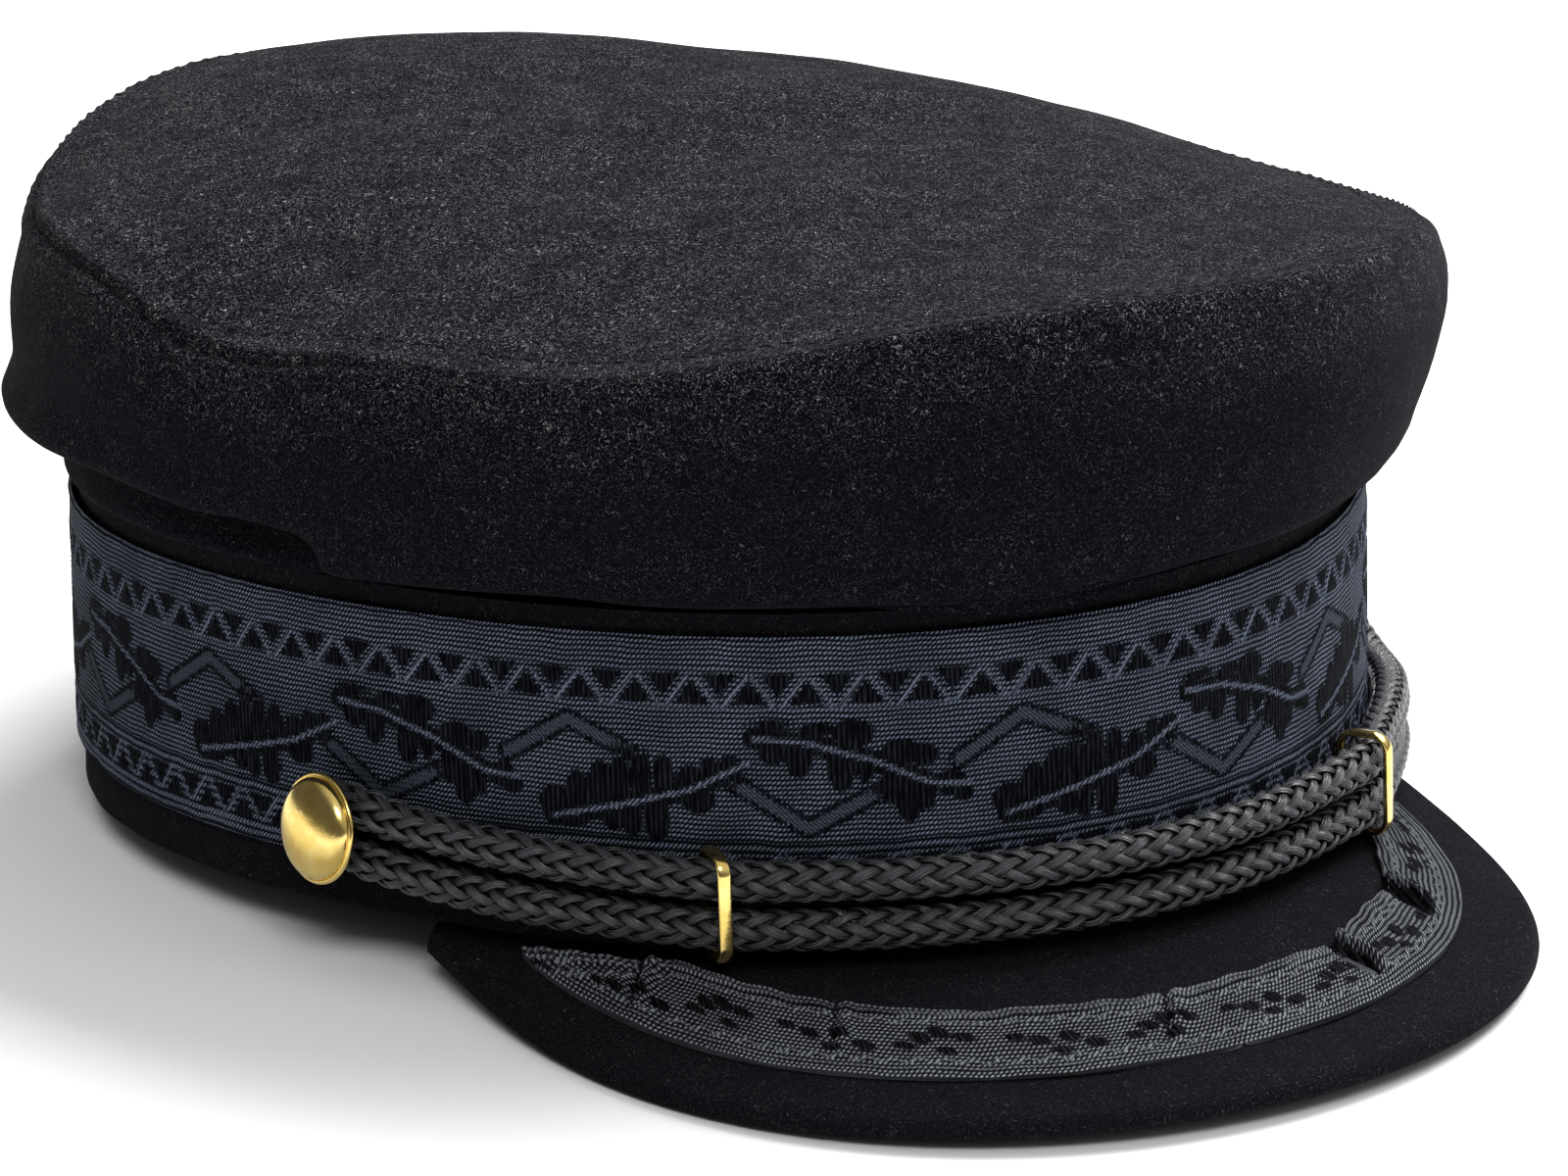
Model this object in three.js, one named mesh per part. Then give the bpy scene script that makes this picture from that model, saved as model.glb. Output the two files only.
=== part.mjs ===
// A sailor's cap of wool cloth: a soft crown of a side strip and an oval tip, a straight
// headband with a patterned ribbon round it, a stiff cloth-covered peak with a ribbon of its own,
// and a braided chin cord that runs through two metal slides to a domed button on each side.
//
// Lengths are millimetres. The cap's own frame has its origin in the middle of the headband's
// lower edge, +X towards the wearer's left, the peak towards -Y and +Z up. Angles round the cap
// start at the front and grow towards the wearer's right (-X).
import * as THREE from "three";
import { mergeVertices } from "three/addons/utils/BufferGeometryUtils.js";

const clearance = 0.3; // left between pieces that touch

// Headband
const ovalLength = 198; // outside the ribbon, front to back
const ovalWidth = 185; // outside the ribbon, side to side
const ovalEgg = 0.03; // how much rounder the front is than the back, as a share of the radius
const ovalSquare = 0.006; // how much the oval fills out on its diagonals
const bandHeight = 46.5;
const bandWall = 2.4;

// Ribbon round the headband
const ribbonRise = 7; // bare cloth below the ribbon
const ribbonDrop = 2.9; // bare cloth above the ribbon
const ribbonWall = 1;

// Crown
const crownWall = 2;
const crownSpread = 10; // how far the crown may stand out past the band
const sideHeight = 39; // from the band's upper edge to the seam round the tip
const tipLevel = 0.9; // mean height of the tip's seam, as a share of sideHeight
const tipDome = 10.6; // the tip's middle above the mean of its seam
const tipLean = 14; // how much the dome is shifted towards its high side
const tipHighSide = 150; // degrees
const tipRoundness = 2.5; // how flat the dome is in the middle

// Peak
const peakLength = 43.6; // in front of the ribbon's face
const peakCornerAngle = 55.7; // degrees: its corners lie on the ribbon's face
const peakTurn = 0.6; // degrees that the peak sits askew, towards the wearer's right
const peakBluntness = 0.74; // power of the outline: lower is squarer
const peakWall = 3;
const peakCornerDrop = 1.9; // the upper face's edge at the corners, below the band
const peakFrontDrop = 8.7; // the upper face's edge at the front, below the band
const peakDropSpread = 4.6; // how soon the edge reaches its lowest level, away from the corners
const peakRootCurve = 1.2; // power of the fall from the band to the edge: higher stays level longer

// Ribbon on the peak
const trimWidth = 15; // in the middle
const trimFlare = 3.4; // how much wider the ribbon is at the right end than in the middle
const trimInset = 10; // from the peak's edge to the ribbon, in the middle
const trimSkew = 2.4; // how much nearer the edge the ribbon lies at the right end than in the middle
const trimReach = 0.8; // where the ribbon ends, as a share of the way to the peak's corners
const trimStep = 0.01; // between the places that give the edge's direction
const trimWall = 0.8;

// Chin cord, slides and buttons
const strandRadius = 2.95;
const squeezedRadius = 2.3; // of the cord where it passes under a button
const squeezeLength = 6; // along the cord, from its full size to the squeezed one
const strandGap = 0.8; // between the two strands
const strapHeight = 7.8; // middle of the two strands above the band's lower edge, in front
const strapLean = 1.2; // how much higher the strands lie for each radian towards the right
const strapRise = 4.6; // how much higher still they end at the buttons
const strapSag = 5; // how far they hang below that line on the wearer's left
const sagAngle = -70; // degrees
const sagSpread = 16; // degrees
const rightButtonAngle = 63.8; // degrees
const leftButtonAngle = -90; // degrees
const buttonTilt = 15; // degrees, turned back from facing straight out
const slideAngle = 29.5; // degrees, on both sides
const slideClearing = 9; // how far from a slide the strands leave the ribbon
const buttonClearing = 12; // how far from a button's shank the strands start to part
const slideThick = 0.8;
const slideWidth = 2;
const slideCorner = 1.4;
const shankRadius = 1.1;
const shankLength = 5.9;
const shankFoot = 0.6; // from the ribbon to the shank, which stands askew
const domeRadius = 8;
const domeHeight = 3.6;
const domeRim = 0.8;

// How finely curved surfaces are cut
const roundSteps = 72;
const sideSteps = 9;
const peakSteps = 36;
const strandSteps = 38;
const cordSides = 8;
const buttonSteps = 20;

// The crown's side, from the joint on the band to the seam round the tip. Out is how far each
// level stands outside the oval, as a share of crownSpread. Up is its height above the band's
// upper edge, as a share of sideHeight. tuck is the drawn-in strip next to the band, fold the
// lowest roll of loose cloth, wide the fullest level and seam the edge of the tip.
const crownColumns = [
  "angle", "tuckOut", "tuckUp", "foldOut", "foldUp", "wideOut", "wideUp", "seamOut", "seamUp",
];
const crownRows = [
  [-180, 0.15, 0.07, 0.50, 0.13, 0.80, 0.60, 0.50, 1.07],
  [-150, 0.15, 0.05, 0.48, 0.08, 0.90, 0.54, 0.60, 0.84],
  [-120, 0.15, 0.04, 0.42, 0.05, 1.04, 0.48, 0.77, 0.67],
  [-90, 0.12, 0.02, 0.30, 0.02, 1.14, 0.50, 0.92, 0.62],
  [-62, 0.10, 0.00, 0.26, 0.01, 1.18, 0.54, 0.97, 0.74],
  [-40, 0.12, 0.05, 0.42, 0.06, 1.08, 0.51, 0.78, 0.88],
  [-22, 0.14, 0.06, 0.50, 0.08, 0.92, 0.51, 0.62, 0.94],
  [-8, 0.15, 0.05, 0.50, 0.05, 0.83, 0.51, 0.53, 0.99],
  [7, 0.15, 0.04, 0.52, 0.01, 0.80, 0.50, 0.50, 1.00],
  [22, 0.15, 0.05, 0.50, 0.05, 0.78, 0.48, 0.50, 0.92],
  [35, 0.15, 0.06, 0.48, 0.05, 0.76, 0.44, 0.48, 0.82],
  [42, 0.15, 0.06, 0.46, 0.09, 0.75, 0.43, 0.47, 0.80],
  [52, 0.14, 0.06, 0.48, 0.05, 0.75, 0.43, 0.46, 0.81],
  [61, 0.12, 0.06, 0.46, 0.04, 0.75, 0.44, 0.45, 0.80],
  [69, 0.10, 0.09, 0.44, 0.22, 0.76, 0.47, 0.45, 0.77],
  [78, 0.14, 0.09, 0.46, 0.24, 0.76, 0.50, 0.44, 0.79],
  [90, 0.16, 0.09, 0.52, 0.26, 0.72, 0.60, 0.38, 0.92],
  [104, 0.15, 0.09, 0.55, 0.27, 0.65, 0.64, 0.34, 0.97],
  [120, 0.12, 0.09, 0.55, 0.27, 0.65, 0.66, 0.26, 1.00],
  [150, 0.14, 0.08, 0.54, 0.20, 0.74, 0.66, 0.42, 1.16],
].map((row) => Object.fromEntries(row.map((value, k) => [crownColumns[k], value])));

const radians = THREE.MathUtils.degToRad;

// Shapes

// One closed body from an outer and an inner grid of points, grid[i][j]. Rows join round in a
// ring when wrap is set. Where a grid side shrinks to a point, its collapsed faces are dropped.
function slab(outer, inner, wrap) {
  const rows = outer.length;
  const across = outer[0].length;
  const position = [...outer, ...inner].flat().flatMap((p) => [p.x, p.y, p.z]);
  const index = [];
  const quad = (a, b, c, d) => index.push(a, b, c, a, c, d);
  const at = (i, j) => (i % rows) * across + j;
  const under = (i, j) => rows * across + at(i, j);
  const last = across - 1;
  for (let i = 0; i < (wrap ? rows : rows - 1); i++) {
    for (let j = 0; j < last; j++) {
      quad(at(i, j), at(i + 1, j), at(i + 1, j + 1), at(i, j + 1));
      quad(under(i, j), under(i, j + 1), under(i + 1, j + 1), under(i + 1, j));
    }
    quad(at(i, 0), under(i, 0), under(i + 1, 0), at(i + 1, 0));
    quad(at(i, last), at(i + 1, last), under(i + 1, last), under(i, last));
  }
  for (let j = 0; j < last && !wrap; j++) {
    quad(at(0, j), at(0, j + 1), under(0, j + 1), under(0, j));
    quad(at(rows - 1, j), under(rows - 1, j), under(rows - 1, j + 1), at(rows - 1, j + 1));
  }
  return solid(position, index);
}

// A closed tube through rings of points, joined end to end.
function ringTube(rings) {
  const sides = rings[0].length;
  const position = rings.flat().flatMap((p) => [p.x, p.y, p.z]);
  const index = [];
  const at = (i, k) => (i % rings.length) * sides + (k % sides);
  for (let i = 0; i < rings.length; i++)
    for (let k = 0; k < sides; k++)
      index.push(at(i, k), at(i + 1, k), at(i + 1, k + 1), at(i, k), at(i + 1, k + 1), at(i, k + 1));
  return solid(position, index);
}

// Joins equal points, drops collapsed faces and turns the faces outward.
function solid(position, index) {
  const loose = new THREE.BufferGeometry();
  loose.setAttribute("position", new THREE.Float32BufferAttribute(position, 3));
  loose.setIndex(index);
  const merged = mergeVertices(loose, 1e-3);
  const corners = merged.index.array;
  const p = merged.attributes.position;
  const [a, b, c] = [new THREE.Vector3(), new THREE.Vector3(), new THREE.Vector3()];
  const faces = [];
  let volume = 0;
  for (let i = 0; i < corners.length; i += 3) {
    const [u, v, w] = corners.slice(i, i + 3);
    if (u === v || v === w || w === u) continue;
    faces.push([u, v, w]);
    b.fromBufferAttribute(p, v).cross(c.fromBufferAttribute(p, w));
    volume += a.fromBufferAttribute(p, u).dot(b);
  }
  merged.setIndex(faces.flatMap(([u, v, w]) => (volume > 0 ? [u, v, w] : [u, w, v])));
  merged.computeVertexNormals();
  return merged;
}

// The headband's oval

function ovalRadius(angle) {
  const mean = (ovalLength + ovalWidth) / 4;
  const stretch = (ovalLength - ovalWidth) / (ovalLength + ovalWidth);
  const egg = ovalEgg * Math.cos(3 * angle);
  return mean * (1 + stretch * Math.cos(2 * angle) + egg + ovalSquare * Math.cos(4 * angle));
}

// A point at an angle round the cap, so far outside the ribbon's face, at height z.
function around(angle, out, z) {
  const r = ovalRadius(angle) + out;
  return new THREE.Vector3(-r * Math.sin(angle), -r * Math.cos(angle), z);
}

const bandFace = -ribbonWall - clearance;
const turn = Array.from({ length: roundSteps }, (_, i) => (i / roundSteps) * 2 * Math.PI - Math.PI);

// A ring of cloth from height low to high, with its outer face at out.
function hoop(out, wall, low, high) {
  const line = (angle, offset) => [around(angle, offset, low), around(angle, offset, high)];
  const face = (offset) => turn.map((angle) => line(angle, offset));
  return slab(face(out), face(out - wall), true);
}

// The crown

// The crown's shares at an angle, on a smooth curve through the rows.
function crownAt(angle) {
  const count = crownRows.length;
  const degrees = THREE.MathUtils.radToDeg(angle);
  const row = (i) => crownRows[(i + count) % count];
  const angleOf = (i) => row(i).angle + 360 * Math.floor(i / count);
  let i = crownRows.findLastIndex((r) => r.angle <= degrees + 1e-6);
  const [before, here, next, after] = [i - 1, i, i + 1, i + 2].map(angleOf);
  const t = (degrees - here) / (next - here);
  const share = {};
  for (const name of crownColumns) {
    const [v0, v1, v2, v3] = [i - 1, i, i + 1, i + 2].map((k) => row(k)[name]);
    const m1 = ((v2 - v0) / (next - before)) * (next - here);
    const m2 = ((v3 - v1) / (after - here)) * (next - here);
    share[name] = hermite(v1, m1, v2, m2, t);
  }
  return share;
}

function hermite(v1, m1, v2, m2, t) {
  const [t2, t3] = [t * t, t * t * t];
  return (2 * t3 - 3 * t2 + 1) * v1 + (t3 - 2 * t2 + t) * m1 + (3 * t2 - 2 * t3) * v2 + (t3 - t2) * m2;
}

// The side's outer line at an angle, as points (out, z) from the band to the tip's seam.
function sideLine(angle) {
  const s = crownAt(angle);
  const level = (out, up) => new THREE.Vector2(out * crownSpread, bandHeight + up * sideHeight);
  const start = new THREE.Vector2(bandFace + clearance, bandHeight + clearance);
  const keys = [start, level(s.tuckOut, s.tuckUp), level(s.foldOut, s.foldUp)];
  keys.push(level(s.wideOut, s.wideUp), level(s.seamOut, s.seamUp));
  return new THREE.SplineCurve(keys).getPoints(sideSteps);
}

// The direction across the cloth at the tip's seam, halfway between the side and the tip.
const seamOut = new THREE.Vector2(1, 1).normalize();

function inward(line) {
  return line.map((p, j) => {
    const [before, next] = [line[Math.max(j - 1, 0)], line[Math.min(j + 1, line.length - 1)]];
    const along = next.clone().sub(before).normalize();
    const across = next === p ? seamOut : new THREE.Vector2(along.y, -along.x);
    return p.clone().addScaledVector(across, -crownWall);
  });
}

function crownSide() {
  const lines = turn.map((angle) => sideLine(angle));
  const place = (line, i) => line.map((p) => around(turn[i], p.x, p.y));
  return slab(lines.map(place), lines.map((line, i) => place(inward(line), i)), true);
}

// The tip's height at an angle and a share of the way out to its seam.
function tipHeight(angle, share, seamZ) {
  const mean = bandHeight + sideHeight * tipLevel;
  const rim = share ** tipRoundness;
  const lean = tipLean * share * (1 - share ** 2) * Math.cos(angle - radians(tipHighSide));
  return rim * seamZ + (1 - rim) * (mean + tipDome) + lean;
}

const tipShares = [0, 0.25, 0.5, 0.7, 0.85, 0.95, 1];

function crownTip() {
  const step = new THREE.Vector2(-1, 1).normalize().multiplyScalar(clearance);
  const face = (depth) =>
    turn.map((angle) => {
      const seam = sideLine(angle).at(-1);
      const rim = seam.clone().add(step).addScaledVector(seamOut, -depth);
      const lower = seam.y - rim.y;
      return tipShares.map((share) => {
        const z = tipHeight(angle, share, seam.y) - THREE.MathUtils.lerp(depth, lower, share);
        const r = share * (ovalRadius(angle) + rim.x);
        return new THREE.Vector3(-r * Math.sin(angle), -r * Math.cos(angle), z);
      });
    });
  return slab(face(0), face(crownWall), true);
}

// The peak

const upward = new THREE.Vector3(0, 0, 1);
const peakCorner = around(radians(peakCornerAngle), 0, 0);
const peakReach = ovalRadius(0) + peakLength + peakCorner.y; // from the corners to the front edge
const peakTurns = Array.from({ length: peakSteps + 1 }, (_, i) => (2 * i) / peakSteps - 1);
const peakShares = [0, 0.08, 0.3, 0.55, 0.8, 0.94, 1];

// A point of the peak's upper face: along runs from -1 at the left corner to 1 at the right
// one, and share from 0 under the headband to 1 at the edge.
function peakPoint(along, share, drop = 0) {
  const bow = (along * Math.PI) / 2;
  const forward = Math.abs(Math.cos(bow));
  const fall = 1 - (1 - forward) ** peakDropSpread;
  const edge = new THREE.Vector3(
    peakCorner.x * Math.sin(bow),
    peakCorner.y - peakReach * forward ** peakBluntness,
    -peakCornerDrop - (peakFrontDrop - peakCornerDrop) * fall,
  );
  edge.applyAxisAngle(upward, -radians(peakTurn));
  const angle = radians(peakCornerAngle * along + peakTurn);
  const root = around(angle, bandFace - bandWall, -clearance);
  const point = root.lerp(edge, share);
  point.z = -clearance - (-edge.z - clearance) * share ** peakRootCurve - drop;
  return point;
}

function peak() {
  const line = (along, drop) => peakShares.map((share) => peakPoint(along, share, drop));
  const face = (drop) => peakTurns.map((along) => line(along, drop));
  return slab(face(0), face(peakWall), false);
}

// How far the peak reaches from the band at one place along it, square to its edge and along the
// line from the band.
function peakReachAt(along) {
  const root = peakPoint(along, 0);
  const line = peakPoint(along, 1).sub(root);
  const edge = peakPoint(along + trimStep, 1).sub(peakPoint(along - trimStep, 1)).normalize();
  return { square: line.clone().cross(edge).length(), straight: line.length() };
}

function peakTrim() {
  const cordCover = bandWall + clearance + strandRadius;
  const face = (lift) =>
    peakTurns.map((turnShare) => {
      const along = turnShare * trimReach;
      const reach = peakReachAt(along);
      const outer = 1 - (trimInset - trimSkew * along) / reach.square;
      const width = trimWidth + trimFlare * along;
      const inner = Math.max(outer - width / reach.square, cordCover / reach.straight);
      return [inner, (inner + outer) / 2, outer].map((share) => peakPoint(along, share, -lift));
    });
  return slab(face(clearance + trimWall), face(clearance), false);
}

// The chin cord, its slides and its buttons

const slideLift = slideThick + clearance;
const loopRadius = shankRadius + clearance + squeezedRadius;
const pairHalf = strandRadius + strandGap / 2;
const rightEnd = radians(rightButtonAngle);
const leftEnd = radians(leftButtonAngle);

// How far an angle is from the nearest button's shank, along the ribbon. Past it is below zero.
function fromButton(angle) {
  return Math.min(rightEnd - angle, angle - leftEnd) * ovalRadius(angle);
}

function cordRadius(angle) {
  const near = THREE.MathUtils.smoothstep(fromButton(angle), 0, squeezeLength);
  return THREE.MathUtils.lerp(squeezedRadius, strandRadius, near);
}

// The middle of the pair of strands at an angle: its distance from the ribbon and its height.
function strapMiddle(angle) {
  const toEnd = angle / (angle > 0 ? rightEnd : leftEnd);
  const toSlide = (Math.abs(angle) - radians(slideAngle)) * ovalRadius(angle);
  const sag = Math.exp(-(((angle - radians(sagAngle)) / radians(sagSpread)) ** 2));
  const line = strapHeight + strapLean * angle + strapRise * toEnd ** 4;
  return {
    out: clearance + cordRadius(angle) + slideLift * Math.exp(-((toSlide / slideClearing) ** 2)),
    z: line - strapSag * sag,
  };
}

// Half the distance between the strands: they part to pass round a button's shank.
function strandSpread(angle) {
  const near = THREE.MathUtils.smoothstep(fromButton(angle), 0, buttonClearing);
  return THREE.MathUtils.lerp(loopRadius, pairHalf, near);
}

// One strand from the right button to the left one: level is 1 for the upper and -1 for the lower.
function strandLine(level) {
  return Array.from({ length: strandSteps + 1 }, (_, i) => {
    const angle = THREE.MathUtils.lerp(rightEnd, leftEnd, i / strandSteps);
    const middle = strapMiddle(angle);
    const point = around(angle, middle.out, middle.z + level * strandSpread(angle));
    return { point, radius: cordRadius(angle) };
  });
}

// The turn of the cord round a button's shank, from the upper strand to the lower one.
function loopLine(end) {
  const middle = strapMiddle(end);
  return [30, 60, 90, 120, 150].map(radians).map((bend) => {
    const angle = end + (Math.sign(end) * loopRadius * Math.sin(bend)) / ovalRadius(end);
    const point = around(angle, middle.out, middle.z + loopRadius * Math.cos(bend));
    return { point, radius: squeezedRadius };
  });
}

function chinCord() {
  const line = [...strandLine(1), ...loopLine(leftEnd)];
  line.push(...strandLine(-1).reverse(), ...loopLine(rightEnd).reverse());
  const count = line.length;
  const rings = line.map(({ point, radius }, i) => {
    const [before, next] = [line[(i - 1 + count) % count].point, line[(i + 1) % count].point];
    const along = next.clone().sub(before).normalize();
    const out = new THREE.Vector3(point.x, point.y, 0).normalize();
    const side = along.clone().cross(out).normalize();
    out.copy(side).cross(along);
    return Array.from({ length: cordSides }, (_, k) => {
      const a = ((k + 0.5) / cordSides) * 2 * Math.PI;
      const step = out.clone().multiplyScalar(Math.cos(a)).addScaledVector(side, Math.sin(a));
      return point.clone().addScaledVector(step, radius);
    });
  });
  return ringTube(rings);
}

// Places a mesh made with +Z out of the cap at an angle and a height on the ribbon's face.
function onBand(mesh, angle, z, out) {
  mesh.position.copy(around(angle, out, z));
  mesh.rotation.order = "ZXY";
  mesh.rotation.z = -angle;
  mesh.rotation.x = Math.PI / 2;
  return mesh;
}

function roundedRect(shape, width, height, corner) {
  const [x, y] = [width / 2, height / 2];
  shape.moveTo(-x + corner, -y);
  shape.lineTo(x - corner, -y).absarc(x - corner, -y + corner, corner, -Math.PI / 2, 0);
  shape.lineTo(x, y - corner).absarc(x - corner, y - corner, corner, 0, Math.PI / 2);
  shape.lineTo(-x + corner, y).absarc(-x + corner, y - corner, corner, Math.PI / 2, Math.PI);
  shape.lineTo(-x, -y + corner).absarc(-x + corner, -y + corner, corner, Math.PI, Math.PI * 1.5);
  return shape;
}

// A flat wire bent to a closed frame round both strands, seen from along the cord.
function slide() {
  const depth = 2 * (strandRadius + clearance + slideThick);
  const height = 2 * (pairHalf + strandRadius + clearance + slideThick);
  const frame = roundedRect(new THREE.Shape(), depth, height, slideCorner);
  const [wide, high] = [depth - 2 * slideThick, height - 2 * slideThick];
  frame.holes.push(roundedRect(new THREE.Path(), wide, high, slideCorner - slideThick));
  const finish = { depth: slideWidth, bevelEnabled: false, curveSegments: 3 };
  const geometry = new THREE.ExtrudeGeometry(frame, finish);
  geometry.translate(0, 0, -slideWidth / 2);
  geometry.rotateY(-Math.PI / 2);
  return bare(geometry);
}

// A domed button on a plain shank, with its axis along Z and the shank's foot at the origin.
function button() {
  const arc = [0.25, 0.5, 0.75].map((share) => (share * Math.PI) / 2);
  const profile = [[0, 0], [shankRadius, 0], [shankRadius, shankLength]];
  profile.push([domeRadius - domeRim / 2, shankLength], [domeRadius, shankLength + domeRim / 2]);
  for (const a of arc) {
    const rise = domeRim + (domeHeight - domeRim) * Math.sin(a);
    profile.push([domeRadius * Math.cos(a), shankLength + rise]);
  }
  profile.push([0, shankLength + domeHeight]);
  const outline = profile.map(([r, z]) => new THREE.Vector2(r, z));
  return bare(new THREE.LatheGeometry(outline, buttonSteps).rotateX(Math.PI / 2));
}

// Sets a button in the loop at one end of the cord, turned back so that its shank crosses the
// loop's middle.
function placeButton(mesh, end) {
  const tilt = radians(buttonTilt) * Math.sign(end);
  const middle = strapMiddle(end);
  const aside = Math.tan(tilt) * (middle.out - shankFoot);
  onBand(mesh, end - aside / ovalRadius(end), middle.z, shankFoot);
  mesh.rotation.z -= tilt;
  return mesh;
}

// Keeps only the positions of a library shape, joined into one closed surface.
function bare(geometry) {
  const plain = geometry.index ? geometry.toNonIndexed() : geometry;
  return solid([...plain.attributes.position.array], [...Array(plain.attributes.position.count).keys()]);
}

// Assembly

const wool = { color: 0x19181d, roughness: 0.95, metalness: 0 };
const weave = { color: 0x22262e, roughness: 0.6, metalness: 0 };
const braid = { color: 0x242529, roughness: 0.6, metalness: 0 };
const brass = { color: 0xc9a24a, roughness: 0.25, metalness: 1 };

function piece(name, geometry, finish) {
  const mesh = new THREE.Mesh(geometry, new THREE.MeshStandardMaterial(finish));
  mesh.name = name;
  return mesh;
}

const cap = new THREE.Group();
const ribbonTop = bandHeight - ribbonDrop;
cap.add(piece("crown_tip", crownTip(), wool));
cap.add(piece("crown_side", crownSide(), wool));
cap.add(piece("headband", hoop(bandFace, bandWall, 0, bandHeight), wool));
cap.add(piece("band_ribbon", hoop(0, ribbonWall, ribbonRise, ribbonTop), weave));
cap.add(piece("peak", peak(), wool));
cap.add(piece("peak_ribbon", peakTrim(), weave));
cap.add(piece("chin_cord", chinCord(), braid));
for (const [side, end] of [["right", rightEnd], ["left", leftEnd]]) {
  const slideAt = radians(slideAngle) * Math.sign(end);
  const middle = strapMiddle(slideAt);
  cap.add(onBand(piece(`slide_${side}`, slide(), brass), slideAt, middle.z, middle.out));
  cap.add(placeButton(piece(`button_${side}`, button(), brass), end));
}

// The cap rests on the back of its headband and on the underside of its peak.
const rearRim = ovalRadius(Math.PI) + bandFace;
const underEdge = peakTurns.map((along) => peakPoint(along, 1, peakWall));
cap.rotation.x = -Math.max(...underEdge.map((p) => Math.atan2(-p.z, rearRim - p.y)));

// The part's origin is under the middle of the whole cap, on the surface that it rests on.
const part = new THREE.Group();
part.add(cap);
const box = new THREE.Box3().setFromObject(part, true);
cap.position.set(-(box.min.x + box.max.x) / 2, -(box.min.y + box.max.y) / 2, -box.min.z);

export default part;
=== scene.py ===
"""Fine surfaces and finishes for a sailor's cap of wool cloth.

Every piece is worked out in the cap's own frame, in millimetres: the origin is in the middle of
the headband's lower edge, +X is the wearer's left, the peak points to -Y and +Z is up. Angles
round the cap start at the front and grow towards the wearer's right (-X). The last step turns
each piece into the part's frame, in metres.
"""

import math

import bmesh
import bpy
import numpy as np
from mathutils import Matrix, Vector, noise


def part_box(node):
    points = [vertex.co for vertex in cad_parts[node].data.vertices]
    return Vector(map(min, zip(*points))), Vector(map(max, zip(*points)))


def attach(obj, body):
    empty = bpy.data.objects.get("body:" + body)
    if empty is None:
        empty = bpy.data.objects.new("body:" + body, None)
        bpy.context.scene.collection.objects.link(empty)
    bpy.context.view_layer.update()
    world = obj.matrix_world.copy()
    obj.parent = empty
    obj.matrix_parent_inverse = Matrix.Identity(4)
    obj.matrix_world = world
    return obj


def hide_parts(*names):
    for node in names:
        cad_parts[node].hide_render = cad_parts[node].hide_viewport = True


MM = 0.001
TINY = 1e-6
MERGE = 1e-7  # in metres
FAR = 1e3

# Headband and its ribbon, as in the part
CLEARANCE = 0.3
OVAL_LENGTH = 198
OVAL_WIDTH = 185
OVAL_EGG = 0.03
OVAL_SQUARE = 0.006
BAND_HEIGHT = 46.5
BAND_WALL = 2.4
FLARE_ROWS = [(112, 30, 1.3)]  # where the band leans out: angle, half width and how far
BULGE_ROWS = [(92, 26, 0.8)]  # the same for its lower edge
RIBBON_RISE = 7
RIBBON_DROP = 2.9
RIBBON_WALL = 1
BAND_FACE = -RIBBON_WALL - CLEARANCE
ROUND_STEPS = 72  # of the part's own headband, which gives the part's place

# Crown
CROWN_WALL = 2
CROWN_SPREAD = 10
SIDE_HEIGHT = 39
TIP_LEVEL = 0.9
TIP_DOME = 10.6
TIP_LEAN = 14
TIP_HIGH_SIDE = 150
TIP_ROUNDNESS = 2.5

# Peak and its ribbon
PEAK_LENGTH = 43.6
PEAK_CORNER_ANGLE = 55.7
PEAK_TURN = 0.6
PEAK_BLUNTNESS = 0.74
PEAK_WALL = 3
PEAK_CORNER_DROP = 1.9
PEAK_FRONT_DROP = 8.7
PEAK_DROP_SPREAD = 4.6
PEAK_ROOT_CURVE = 1.2
TRIM_WIDTH = 15
TRIM_FLARE = 3.4
TRIM_INSET = 10
TRIM_SKEW = 2.4
TRIM_REACH = (-0.8, 0.86)  # its right end goes a little further under the cord than the part's
TRIM_STEP = 0.01
TRIM_WALL = 0.8

# Chin cord, slides and buttons
STRAND_RADIUS = 2.95
SQUEEZED_RADIUS = 2.3
SQUEEZE_LENGTH = 6
STRAND_GAP = 0.8
STRAP_HEIGHT = 7.8
STRAP_LEAN = 1.2
STRAP_RISE = 4.6
STRAP_SAG = 5
SAG_ANGLE = -70
SAG_SPREAD = 16
RIGHT_BUTTON_ANGLE = 63.8
LEFT_BUTTON_ANGLE = -90
BUTTON_TILT = 15
BUTTON_LIFT = 9  # the buttons look up a little, which they don't in the part
BUTTON_SHIFT = 0.6  # degrees nearer to the front than in the part
SLIDE_ANGLE = 29.5
SLIDE_CLEARING = 9
BUTTON_CLEARING = 12
SLIDE_THICK = 0.8
SLIDE_WIDTH = 1.8  # a little narrower than in the part, which rounds no edges
SLIDE_BEND = 2.6  # softer than in the part
SLIDE_SQUARE = (0.35, 0.55)
SLIDE_BULGE = 0.08
ASKEW_DEPTH = 1 / 60  # how much deeper a slide is for each degree that it stands askew
ASKEW_SHIFT = 1 / 24  # how many degrees further from the front it sits for the same
SHANK_RADIUS = 1.1
SHANK_LENGTH = 5.9
SHANK_FOOT = 0.6
SHANK_FLARE = (0.3, 0.2)
DOME_RADIUS = 7.6  # a little less than in the part
DOME_HEIGHT = 3.6
DOME_RIM = 0.8
DOME_INSET = 0.66
DOME_FULL = (0.9, 0.95)
BACK_INSET = 0.9
RIM_ROLL = 0.42
GROOVE = (0.62, 0.72)

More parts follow.
